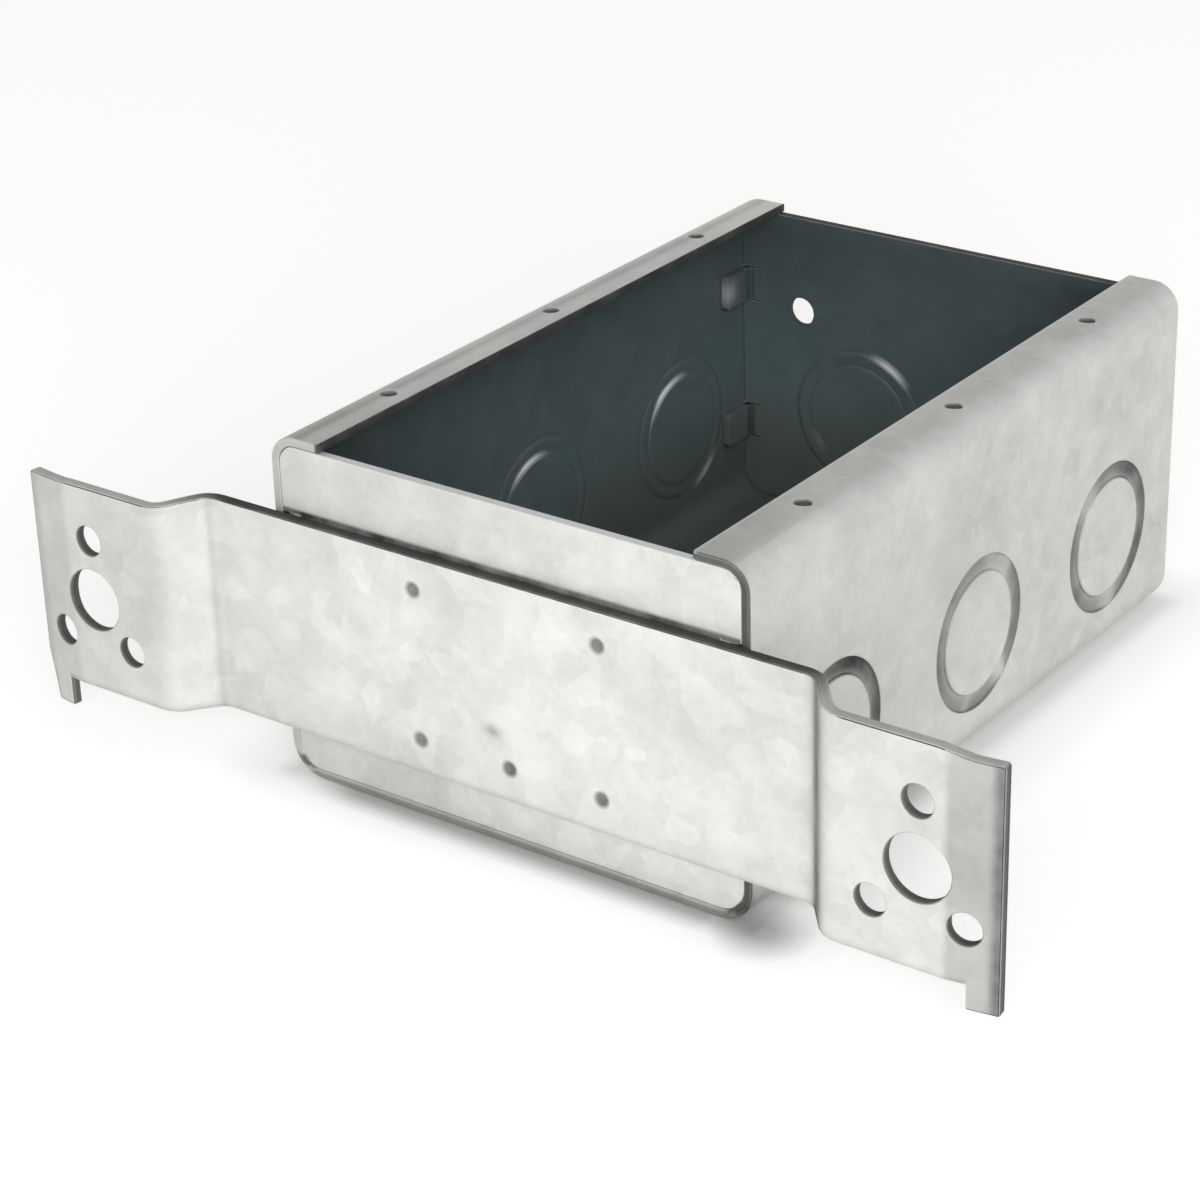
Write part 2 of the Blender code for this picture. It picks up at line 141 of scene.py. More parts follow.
class BracketSizes(bpy.types.PropertyGroup):
    """Sizes of the stud bracket."""

    span: length("Length", "From ear tip to ear tip", BRACKET_HIGH.x - BRACKET_LOW.x)
    top: length("Top", "Upper edge above the underside", BRACKET_HIGH.z)
    height: length("Height", "Height of the strap", 0.0400)
    sheet: length("Sheet", "Thickness of the steel", 0.0020)
    seam: length("Seam", "Gap between the strap and the near plate", 0.0003)
    ear: length("Ear", "From the ear tip to the start of the joggle", 0.0359)
    ear_drop: length("Ear top", "How far the ears' upper edge lies lower", 0.0010)
    rise: length("Joggle", "How far the ears stand forward", 0.00735)
    slope: angle("Joggle slope", "Turn from the strap into the joggle", 51.0)
    bend: length("Joggle bend", "Radius of the middle line", 0.0048)
    tip: length("Ear tip", "Width of the tip that bends back", 0.0087)
    lean: angle("Tip lean", "Turn from the ear into its tip", 8.5)
    tip_bend: length("Tip bend", "Radius of the middle line", 0.0080)
    tip_drop: length("Tip top", "How much lower the tips' upper edge lies", 0.0010)
    prong_width: length("Prong width", "Width of each lower prong", 0.0055)
    prong_drop: length("Prong drop", "How far a prong reaches down", 0.0042)
    prong_taper: length("Prong taper", "How much the left prong narrows", 0.0018)
    prong_extra: length("Left prong", "How much further the left prong reaches", 0.0014)
    ear_hole: length("Large hole", "Diameter of the large ear hole", 0.0115)
    ear_inset: length("Hole inset", "From the ear tip to the large hole", 0.0138)
    small_hole: length("Small hole", "Diameter of a small ear hole", 0.0056)
    small_circle: length("Hole circle", "Radius of the small holes' circle", 0.0113)
    hole_drop: length("Hole drop", "Large hole below the strap's middle", 0.0025)
    weld: length("Weld", "Radius of a weld's press mark", 0.0018)
    weld_pitch: length("Weld pitch", "From one weld to the next", 0.0185)
    weld_inset: length("Weld inset", "From the strap's edges to a weld", 0.0062)
    weld_shift: length("Weld shift", "Middle of the welds beside the middle", 0.0017)


class Finishes(bpy.types.PropertyGroup):
    """Colours of the steel and the stage."""

    # The plates and the bracket are the body's zinc painted lighter, a lit copy for their front faces:
    # painted light.
    body: colour("Body", "Zinc coat of the folded body", (0.69, 0.69, 0.665))
    plate: colour("Plates", "Zinc coat of the end plates", (0.82, 0.82, 0.79))
    bracket: colour("Bracket", "Zinc coat of the bracket", (0.77, 0.77, 0.75))
    # Painted shade: the inside of the box is given this dark colour for the shade inside it.
    inner: colour("Inside", "Dark inner face of the box", (0.16, 0.225, 0.235))
    cut: colour("Cut edge", "Bare sheared edges", (0.14, 0.14, 0.13))
    # Colour of the darkening mark: dirt in grooves and seams, and painted shade and painted shadow.
    gap: colour("Gap", "Dirt in grooves and seams", (0.030, 0.031, 0.030))
    # Weld heat colour, also used in the painted shade on the bracket's tips.
    scorch_and_shade: colour("Scorch", "Steel discoloured by weld heat", (0.16, 0.145, 0.13))
    haze: colour("Haze", "Cloudy patches of the inside", (0.21, 0.20, 0.19))
    dust: colour("Dust", "Dust low down on the inside", (0.19, 0.17, 0.15))
    # Colour of the lightening mark outside: worn zinc and painted highlights.
    rubbed: colour("Rubbed", "Rubbed zinc outside", (0.76, 0.78, 0.78))
    # Painted highlight on rims of the knockouts and on a tab end inside.
    painted_gleam: colour("Gleam", "Bright rims inside", (0.97, 0.98, 0.98))
    floor: colour("Floor", "Studio floor", (0.90, 0.90, 0.89))


# Sheet geometry


def grid_lines(low, high, step, zones=()):
    """Grid lines from low to high, at most step apart, and closer in each zone.

    A zone is (start, end, step); its ends are lines too.
    """
    marks = [low, high] + [m for zone in zones for m in zone[:2] if low < m < high]
    marks = np.unique(np.round(marks, 7))
    runs = []
    for a, b in zip(marks, marks[1:]):
        middle = (a + b) / 2
        local = min([step] + [zone[2] for zone in zones if zone[0] < middle < zone[1]])
        runs.append(np.linspace(a, b, max(1, math.ceil((b - a) / local - 0.3)), endpoint=False))
    return np.append(np.concatenate(runs), marks[-1])


def around(middle, reach, step):
    """A zone of closer grid lines to both sides of a place."""
    return (middle - reach, middle + reach, step)


class Fold:
    """Middle line of a bent sheet: straight runs and arcs, end to end.

    At a length u along a run with heading a and curvature k, the line has gone
    a chord of u sin(ku/2) / (ku/2) in the direction a + ku/2.
    """

    def __init__(self, start, heading, runs):
        lengths = np.array([run[0] for run in runs])
        turns = np.array([run[1] for run in runs])
        self.starts = np.concatenate([[0.0], np.cumsum(lengths)])
        self.curves = turns / lengths
        self.headings = heading + np.concatenate([[0.0], np.cumsum(turns)])[:-1]
        self.points = [np.array(start, float)]
        for i, run in enumerate(runs):
            self.points.append(self._ahead(i, np.array([run[0]]))[0])
        self.points = np.array(self.points)

    def _ahead(self, i, u):
        """Points at lengths u along run i."""
        half = self.curves[i] * u / 2
        chord = u * np.sinc(half / math.pi)
        angle = self.headings[i] + half
        base = np.asarray(self.points)[i]
        return base + chord[:, None] * np.stack([np.cos(angle), np.sin(angle)], 1)

    def at(self, s, h):
        """Points at length s, raised by h along the left-hand normal."""
        i = np.clip(np.searchsorted(self.starts, s + 1e-9) - 1, 0, len(self.curves) - 1)
        u = s - self.starts[i]
        point = self._ahead(i, u)
        angle = self.headings[i] + self.curves[i] * u
        return point + h[:, None] * np.stack([-np.sin(angle), np.cos(angle)], 1)


def open_edges(quads):
    """Edges that only one quad uses, in that quad's direction."""
    edges = np.concatenate([quads[:, [0, 1]], quads[:, [1, 2]], quads[:, [2, 3]], quads[:, [3, 0]]])
    size = edges.max() + 1
    forward = edges[:, 0] * size + edges[:, 1]
    backward = edges[:, 1] * size + edges[:, 0]
    return edges[~np.isin(forward, backward)]


def mitred_normals(flat, outline):
    """Vertices of the outline and their outward normals. Where edges with unit
    normals a and b meet, the mitre is 2 (a + b) / |a + b|^2, at most 2 (a + b)."""
    step = flat[outline[:, 1]] - flat[outline[:, 0]]
    normal = np.stack([step[:, 1], -step[:, 0]], 1)
    normal /= np.linalg.norm(normal, axis=1, keepdims=True)
    total = np.zeros_like(flat)
    np.add.at(total, outline[:, 0], normal)
    np.add.at(total, outline[:, 1], normal)
    on = np.unique(outline)
    return on, total[on] / np.maximum((total[on] ** 2).sum(1) / 2, 0.5)[:, None]


def rim_section(half, rollover, arc_steps=4):
    """Rows of a cut edge, each with how far out and how high it lies and how bare
    it is: a quarter circle, a straight band and a second quarter circle."""
    angles = np.linspace(0, QUARTER, arc_steps + 1)[1:]
    outs, ups = np.sin(angles), 1 - np.cos(angles)
    out = np.concatenate([outs, [1.0, 1.0], outs[::-1]]) * rollover
    height = np.concatenate([half - ups * rollover, [half * 0.35, half * 0.2],
                             ups[::-1] * rollover - half])
    bare = np.concatenate([outs, [0.85, 1.0], outs[::-1]]) ** 2
    return zip(out, height, bare)


def eased_angles(angle, passes=6):
    """Angles round a ring in order. What they stray from even steps is smoothed
    over the neighbours with weights 1, 2 and 1, a few times."""
    even = 2 * math.pi * np.arange(len(angle)) / len(angle)
    drift = angle - even
    for _ in range(passes):
        drift = (np.roll(drift, 1) + 2 * drift + np.roll(drift, -1)) / 4
    return even + drift


def ring_rows(theta, rows):
    """Rows of a round profile as an array: radius, height, then the cut mark, the darkening mark (dirt and
    painted shade) and the lightening mark (wear and painted highlights).
    """
    return np.stack([np.stack([np.broadcast_to(v, theta.shape) for v in row], -1) for row in rows])


def round_the_ring(theta, base, arcs):
    """A base value plus a smooth bump over each arc, kept within zero and one.

    An arc is its middle and half width in degrees and its amount.
    """
    total = np.full(theta.shape, float(base))
    for middle, width, amount in arcs:
        total += amount * bump_over(theta, math.radians(middle), math.radians(width))
    return np.clip(total, 0, 1)


def smooth_step(value, start, stop):
    """Zero at start and one at stop, with 3 u u - 2 u u u between."""
    u = np.clip((value - start) / (stop - start), 0, 1)
    return u * u * (3 - 2 * u)


def bell(distance, reach):
    """A soft spot: e to the power of minus the square of distance over reach."""
    return np.exp(-(distance / reach) ** 2)


def swell(distance, reach):
    """A smooth bump: half a wave of cosine, one at no distance and zero past its reach."""
    return 0.5 + 0.5 * np.cos(math.pi * np.clip(np.abs(distance) / reach, 0, 1))


def bump_over(theta, middle, width):
    """A swell over the shorter way round from a middle angle."""
    return swell((theta - middle + math.pi) % (2 * math.pi) - math.pi, width)


class Growth:
    """Vertex table, quads and fans of a piece while it is made."""

    def __init__(self):
        self.rows, self.quads, self.fans = [], [], []
        self.count = 0

    def add(self, rows):
        """Add vertices and give the number of the first."""
        self.rows.append(rows)
        self.count += len(rows)
        return self.count - len(rows)

    def add_level(self, spot, height, bare, side):
        """Add vertices of one height, with one amount of bare metal."""
        same = np.broadcast_to([height, bare, 0, 0, side], (len(spot), 5))
        return self.add(np.column_stack([spot, same]))

    def stitch(self, loops, side):
        """Close the band between each ring of vertices and the next."""
        for outer, inner in zip(loops, loops[1:]):
            quad = np.stack([outer, np.roll(outer, -1), np.roll(inner, -1), inner], 1)
            self.quads.append(quad if side > 0 else quad[:, ::-1])

    def fill(self, ring, centre, side):
        """Close a ring with triangles to its centre."""
        fan = np.stack([ring, np.roll(ring, -1), np.full(len(ring), centre)], 1)
        self.fans.append(fan if side > 0 else fan[:, ::-1])

    def result(self):
        """The whole table, the quads and the triangles."""
        fans = np.concatenate(self.fans) if self.fans else np.zeros((0, 3), int)
        return np.concatenate(self.rows), np.concatenate(self.quads), fans


class Sheet:
    """Flat pattern of one piece of sheet, ready to be folded."""

    def __init__(self, s_lines, t_lines, thickness):
        self.s, self.t = np.meshgrid(s_lines, t_lines, indexing="ij")
        self.cells = np.zeros((len(s_lines) - 1, len(t_lines) - 1), int)
        self.middle_s = (self.s[1:, :-1] + self.s[:-1, :-1]) / 2
        self.middle_t = (self.t[:-1, 1:] + self.t[:-1, :-1]) / 2
        self.thickness = thickness
        self.features = []

    def cut_away(self, mask):
        """Leave out the cells of the mask."""
        self.cells[mask] = -1

    def add_round(self, s, t, radius, margin, front, back=None):
        """A round feature; front and back give its profile rows for given angles.

        Without a back profile the front one runs through the sheet to its back.
        """
        self.features.append((s, t, radius, margin, front, back))

    def claim_cells(self):
        """Give each cell near a feature to the feature whose rim is nearest."""
        away = np.stack([np.hypot(self.middle_s - f[0], self.middle_t - f[1]) - f[2]
                         for f in self.features])
        margins = np.array([f[3] for f in self.features])[:, None, None]
        away = np.where(away < margins, away, np.inf)
        nearest = away.argmin(0)
        taken = np.isfinite(away.min(0)) & (self.cells >= 0)
        self.cells[taken] = nearest[taken] + 1

    def square_to_round(self, s, t, side_s, side_t, radius):
        """Round an outer corner: in its square of unit sides, u becomes
        u sqrt(1 - v v / 2) and v becomes v sqrt(1 - u u / 2)."""
        u = 1 - side_s * (s - self.s) / radius
        v = 1 - side_t * (t - self.t) / radius
        inside = (u >= -1e-6) & (v >= -1e-6) & (u <= 1 + 1e-6) & (v <= 1 + 1e-6)
        u, v = np.clip(u, 0, 1), np.clip(v, 0, 1)
        self.s = np.where(inside, s - side_s * (1 - u * np.sqrt(1 - v * v / 2)) * radius, self.s)
        self.t = np.where(inside, t - side_t * (1 - v * np.sqrt(1 - u * u / 2)) * radius, self.t)

    def build(self, rollover):
        """Vertex table, quads and triangles of the sheet, still flat.

        The front and back faces lie half a thickness either side of the middle
        line, and the cut edges are carried along the outline on mitred normals.
        """
        half = self.thickness / 2
        count = self.s.size
        ids = np.arange(count).reshape(self.s.shape)
        quads = np.stack([ids[:-1, :-1], ids[1:, :-1], ids[1:, 1:], ids[:-1, 1:]], -1)
        flat = np.stack([self.s.ravel(), self.t.ravel()], 1)
        outline = open_edges(quads[self.cells >= 0])
        on, mitre = mitred_normals(flat, outline)
        inset = flat.copy()
        inset[on] -= mitre * rollover

        grown = Growth()
        grown.add_level(inset, half, 0, 1)
        grown.add_level(inset, -half, 0, -1)
        plain = quads[self.cells == 0]
        grown.quads += [plain, plain[:, ::-1] + count]

        number = np.full(count, -1)
        number[on] = np.arange(len(on))
        edges = [outline]
        for out, height, bare in rim_section(half, rollover):
            edges.append(grown.add_level(inset[on] + mitre * out, height, bare, 0) + number[outline])
        edges.append(outline + count)
        for upper, lower in zip(edges, edges[1:]):
            grown.quads.append(np.stack([upper[:, 1], upper[:, 0], lower[:, 0], lower[:, 1]], 1))

        for f, feature in enumerate(self.features):
            rim = open_edges(quads[self.cells == f + 1])[:, 0]
            self.add_rings(grown, feature, flat, rim)
        return grown.result()

    def add_rings(self, grown, feature, flat, rim):
        """Rings of a round feature from its rim in the grid inwards, through to the
        back or, where the feature has a back of its own, to a centre on each face."""
        s, t, _, _, front, back = feature
        angle = np.arctan2(flat[rim, 1] - t, flat[rim, 0] - s)
        order = np.argsort(angle)
        rim = rim[order]
        around_it = np.arange(len(rim))
        theta = eased_angles(angle[order])
        for profile, side in ((front, 1), (back, -1)) if back else ((front, 1),):
            rings = profile(theta)
            radius, height = rings[..., 0], rings[..., 1]
            faced = np.full(radius.shape, side) if back else np.clip(2 * height / self.thickness, -1, 1)
            block = np.stack([s + radius * np.cos(theta), t + radius * np.sin(theta), height,
                              rings[..., 2], rings[..., 3], rings[..., 4], faced], -1)
            first = grown.add(block.reshape(-1, 7))
            loops = [rim if side > 0 else rim + len(flat)]
            loops += [first + k * len(rim) + around_it for k in range(len(rings))]
            if not back:
                loops.append(rim + len(flat))
            grown.stitch(loops, side)
            if back:
                centre = block[-1].mean(0)
                centre[:2] = s, t
                grown.fill(loops[-1], grown.add(centre[None]), side)


def area_normals(points, quads, fans):
    """Vertex normals as the sum of the area vectors of the faces around."""
    total = np.zeros_like(points)
    span = np.cross(points[quads[:, 2]] - points[quads[:, 0]], points[quads[:, 3]] - points[quads[:, 1]])
    for corner in range(4):
        np.add.at(total, quads[:, corner], span)
    if len(fans):
        span = np.cross(points[fans[:, 1]] - points[fans[:, 0]], points[fans[:, 2]] - points[fans[:, 0]])
        for corner in range(3):
            np.add.at(total, fans[:, corner], span)
    return total / np.maximum(np.linalg.norm(total, axis=1, keepdims=True), 1e-20)


def make_mesh(name, points, quads, fans):
    """A smooth mesh of quads and triangles, with a normal of its own per vertex."""
    mesh = bpy.data.meshes.new(name)
    corners = np.concatenate([quads.ravel(), fans.ravel()]).astype(np.int32)
    sizes = np.concatenate([np.full(len(quads), 4), np.full(len(fans), 3)])
    starts = np.concatenate([[0], np.cumsum(sizes)[:-1]]).astype(np.int32)
    mesh.vertices.add(len(points))
    mesh.vertices.foreach_set("co", points.astype(np.float32).ravel())
    mesh.loops.add(len(corners))
    mesh.loops.foreach_set("vertex_index", corners)
    mesh.polygons.add(len(sizes))
    mesh.polygons.foreach_set("loop_start", starts)
    mesh.update(calc_edges=True)
    mesh.validate()
    mesh.shade_smooth()
    mesh.normals_split_custom_set_from_vertices(area_normals(points, quads, fans))
    return mesh


def make_piece(name, sheet, place, paint, material, node, rollover):
    """Fold a sheet, put it into a mesh object and let it stand for a node.

    The faces are turned over where the fold leaves the front facing inwards.
    """
    table, quads, fans = sheet.build(rollover)
    points = place(table[:, S], table[:, T], table[:, HEIGHT])
    front = table[quads[0, 0], :3]
    outward = points[quads[0, 0]] - place(*(front * [1, 1, -1])[:, None])[0]
    first = np.cross(points[quads[0, 1]] - points[quads[0, 0]], points[quads[0, 2]] - points[quads[0, 0]])
    if first @ outward < 0:
        quads, fans = quads[:, ::-1], fans[:, ::-1]
    used = np.unique(np.concatenate([quads.ravel(), fans.ravel()]))
    renumber = np.full(len(points), -1)
    renumber[used] = np.arange(len(used))
    table, points = table[used], points[used]
    mesh = make_mesh(name, points, renumber[quads], renumber[fans])

    marks = {"cut": table[:, CUT], "grime": table[:, GRIME_AND_SHADE], "rub": table[:, RUB_AND_HIGHLIGHT],
             "inside": np.clip(-table[:, SIDE], 0, 1), "heat": np.zeros(len(table))}
    paint(marks, table, points)
    for mark in MARKS:
        layer = mesh.attributes.new(mark, "FLOAT", "POINT")
        layer.data.foreach_set("value", np.clip(marks[mark], 0, 1).astype(np.float32))
    mesh.materials.append(material)
    piece = bpy.data.objects.new(name, mesh)
    bpy.context.scene.collection.objects.link(piece)
    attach(piece, "root")
    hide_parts(node)
    return piece


# Round profiles


def hole_profile(radius, half, dark_amount=0.0):
    """Punched hole: rounded entry, bright shorn band, rough broken band, small burr."""
    entry, burr = 0.00028, 0.00012
    turn = np.linspace(0, QUARTER, 5)

    def profile(theta):
        rows = [(radius + entry + 0.00015, half, 0, 0, 0)]
        rows += [(radius + entry * (1 - math.sin(a)), half - entry * (1 - math.cos(a)),
                  math.sin(a) ** 2 * 0.8, 0, 0) for a in turn]
        rows += [(radius, half * 0.25, 0.85, dark_amount, 0), (radius + 0.00003, half * 0.1, 1, dark_amount, 0)]
        rows += [(radius + 0.00003 + burr * (1 - math.cos(a)), -half + burr * (1 - math.sin(a)),
                  math.cos(a) ** 2, dark_amount, 0) for a in turn]
        return ring_rows(theta, rows)
    return profile


def screw_profile(box, radius):
    """Tapped hole with a drawn collar: a countersink, then a wall whose radius
    follows a triangle wave of height over pitch plus angle over a full turn."""
    half, drop, pitch = box.sheet / 2, box.collar_drop, box.thread_pitch
    sink, crest = 0.00035, 0.00011

    def profile(theta):
        rows = [(radius + sink + 0.0004, half, 0, 0, 0), (radius + sink, half, 0, 0, 0.3),
                (radius + sink * 0.5, half - sink * 0.45, 0.35, 0, 0.5)]
        low, high = -half - drop + 0.0002, half - sink
        for h in np.linspace(high, low, 25):
            wave = np.abs(((h / pitch + theta / (2 * math.pi)) % 1) * 2 - 1)
            fade = min((high - h) / 0.0002, (h - low) / 0.0002, 1)
            rows.append((radius + crest * fade * (wave - 0.5), h, 0.5, 0.55 - 0.35 * wave, 0))
        outer = radius + box.collar_wall
        rows += [(radius + 0.00015, -half - drop, 0.7, 0, 0), (outer - 0.00012, -half - drop, 0.5, 0, 0),
                 (outer, -half - drop + 0.00012, 0.3, 0, 0), (outer + 0.00004, -half - 0.0003, 0, 0, 0),
                 (outer + 0.00018, -half - 0.00008, 0, 0.2, 0), (outer + 0.0005, -half, 0, 0, 0)]
        return ring_rows(theta, rows)
    return profile


def knockout_profiles(box, ties, dark_amount, painted_gleam):
    """Concentric knockout: front and back profiles.

    The ring between both cuts is pushed in, deepest at the outer cut, and
    comes up flush at the ties, the short bridges that hold it. It is darkened
    as a dark shear line and as painted shade in the recess. The small slug stands
    into the box with a sheared shoulder, and some arcs of either cut carry a painted
    highlight: each is middle, half width, strength and whether it is on the outer cut.
    """
    large, small, half = box.slug_large / 2, box.slug_small / 2, box.sheet / 2
    recess, lift = box.slug_recess, box.slug_raise

    def front(theta):
        held = round_the_ring(theta, 0.0, [(*tie, 1.0) for tie in ties])
        deep = recess * (1 - held)
        dark = round_the_ring(theta, *dark_amount)
        # Front: the recessed ring is darkened, a dark shear line and painted shade in the recess.
        rows = [(large + 0.0005, half, 0, 0, 0), (large + 0.00012, half, 0, 0.1 * dark, 0),
                (large + 0.00003, half - 0.00003, 0, 0.45 * dark, 0),
                (large, half - 0.15 * deep, 0.5, 0.8 * dark, 0),
                (large - 0.00003, half - deep, 0.3, dark, 0), (large - 0.00040, half - deep, 0, dark, 0),
                (large - 0.00100, half - 0.90 * deep, 0, dark, 0),
                (large - 0.00160, half - 0.80 * deep, 0, 0.97 * dark, 0),
                (large - 0.00220, half - 0.65 * deep, 0, 0.85 * dark, 0),
                (small + 0.00035, half - 0.5 * deep, 0, 0.7 * dark, 0),
                (small + 0.00006, half - 0.00022 - 0.4 * deep, 0, 0.9 * dark, 0),
                (small, half - 0.00030, 0, 0.9 * dark, 0),
                (small - 0.00008, half - 0.00012, 0, 0.5 * dark, 0),
                (small - 0.00025, half - 0.00003, 0, 0.15 * dark, 0), (small - 0.00050, half, 0, 0, 0)]
        rows += [(small * share, half, 0, 0, 0) for share in (0.85, 0.62, 0.4, 0.18)]
        return ring_rows(theta, rows)

    def back(theta):
        held = round_the_ring(theta, 0.0, [(*tie, 1.0) for tie in ties])
        push = recess * (1 - held)
        shine = round_the_ring(theta, 0.0, [arc[:3] for arc in painted_gleam if not arc[3]])
        outer = round_the_ring(theta, 0.0, [arc[:3] for arc in painted_gleam if arc[3]])
        # Back: painted highlights on the arcs of either cut, and painted shade at the outer cut elsewhere.
        rows = [(large + 0.0011, -half, 0, 0, 0), (large + 0.0006, -half, 0, 0, 0.8 * outer),
                (large, -half + 0.0001 * (1 - held), 0, 0.35 * (1 - held) * (1 - outer), outer),
                (large - 0.00015, -half - 0.2 * push, 0, 0.2 * (1 - held) * (1 - outer), outer),
                (large - 0.00060, -half - 0.35 * push, 0, 0, 0.9 * outer),
                (large - 0.0011, -half - 0.35 * push, 0, 0, 0), (large - 0.0020, -half - 0.3 * push, 0, 0, 0),
                (small + 0.00085, -half - 0.2 * push, 0, 0, 0),
                (small + 0.00045, -half - 0.2 * push, 0, 0.1 * (1 - shine), 0.8 * shine),
                (small + 0.00010, -half - 0.2 * push, 0, 0.25 * (1 - shine), shine),
                (small + 0.00004, -half - 0.3 * lift, 0, 0, shine), (small, -half - 0.75 * lift, 0, 0, shine),
                (small - 0.00010, -half - 0.93 * lift, 0, 0, shine),
                (small - 0.00055, -half - lift, 0, 0, 0.9 * shine), (small - 0.0010, -half - lift, 0, 0, 0)]
        rows += [(small * share, -half - lift, 0, 0, 0) for share in (0.85, 0.62, 0.4, 0.18)]
        return ring_rows(theta, rows)
    return front, back


def dimple_profiles(radius, half, depth, dark_amount=0.75):
    """Spot weld: a shallow round press mark, dark in its middle, and a flat back."""
    def front(theta):
        shares = np.linspace(1.0, 0.1, 9)
        rows = [(radius * 1.25, half, 0, 0, 0), (radius * 1.08, half, 0, 0, 0)]
        rows += [(radius * share, half - depth * (1 - share * share) ** 2 - 0.00001, 0,
                  dark_amount * min(1.0, 2.2 * (1 - share)), 0) for share in shares]
        return ring_rows(theta, rows)

    def back(theta):
        return ring_rows(theta, [(radius * share, -half, 0, 0, 0) for share in (1.25, 0.7, 0.25)])
    return front, back


# Pieces


# Knockouts of the long sides, from the bracket on. Angles are in degrees from +Y
# towards the rim. Each has its ties, its darkening (a dark shear line and painted
# shade in the recess) as a base and arcs, and the arcs of painted highlight inside.
SIDE_KNOCKOUTS = (
    ([(200, 12), (330, 12)], (0.72, [(67, 42, 0.2), (200, 20, -0.4), (330, 20, -0.4)]),
     [(100, 30, 0.45, False)]),
    ([(307, 14), (48, 14)], (0.60, [(188, 50, 0.12), (0, 22, 0.12), (340, 15, 0.1), (48, 22, -0.35),
                                    (70, 20, -0.25), (307, 20, -0.5), (255, 10, -0.2)]),
     [(108, 38, 1.0, False)]),
    ([(127, 18), (277, 16)], (0.70, [(60, 26, 0.25), (15, 20, 0.12), (172, 15, 0.12), (217, 15, 0.12),
                                     (337, 15, 0.1), (127, 30, -0.45), (277, 30, -0.4)]),
     [(118, 44, 1.0, False), (-55, 24, 0.9, True)]),
)


def turned(arcs, side):
    """Arcs given from +Y towards the rim, as angles in the pattern of a long side."""
    return [(90 + side * arc[0], *arc[1:]) for arc in arcs]


def two_tie_knockout(box, tie, dark_amount, painted_gleam):
    """Profiles of a knockout with two opposite ties, less darkened beside them."""
    middles = (tie, tie + 180)
    less_darkened = [(middle, 20, -0.4) for middle in middles]
    return knockout_profiles(box, [(middle, 12) for middle in middles], (dark_amount, less_darkened), painted_gleam)


def gang_places(box):
    """Middle of each gang along Y."""
    return [(i - (box.gangs - 1) / 2) * box.gang_pitch for i in range(box.gangs)]


def tab_spans(box):
    """Lower and upper edge of each weld tab."""
    half = box.tab_width / 2
    return [(middle - half, middle + half) for middle in (box.tab_inset, box.depth - box.tab_inset)]


def weld_spots(box, bracket):
    """X and Z of each spot weld between the bracket and the near plate."""
    upper = bracket.top - bracket.weld_inset
    lower = bracket.top - bracket.height + bracket.weld_inset
    left, middle, right = (bracket.weld_shift + i * bracket.weld_pitch for i in (-1, 0, 1))
    return [(left, upper), (right, upper), (left, lower), (middle, lower), (right, lower)]


def body_fold(box):
    """Section of the body in X and Z, from the right flange's edge round the
    floor to the left one. Its front is the outside. Also gives where each run starts."""
    half = box.sheet / 2
    rim, foot = box.rim_bend - half, box.floor_bend - half
    flat = box.flange - box.rim_bend
    wall = box.depth - box.rim_bend - box.floor_bend
    base = box.width - 2 * box.floor_bend
    runs = [(flat, 0.0), (rim * QUARTER, -QUARTER), (wall, 0.0), (foot * QUARTER, -QUARTER),
            (base, 0.0), (foot * QUARTER, -QUARTER), (wall, 0.0), (rim * QUARTER, -QUARTER), (flat, 0.0)]
    fold = Fold((box.width / 2 - box.flange, box.depth - half), 0.0, runs)
    return fold, fold.starts


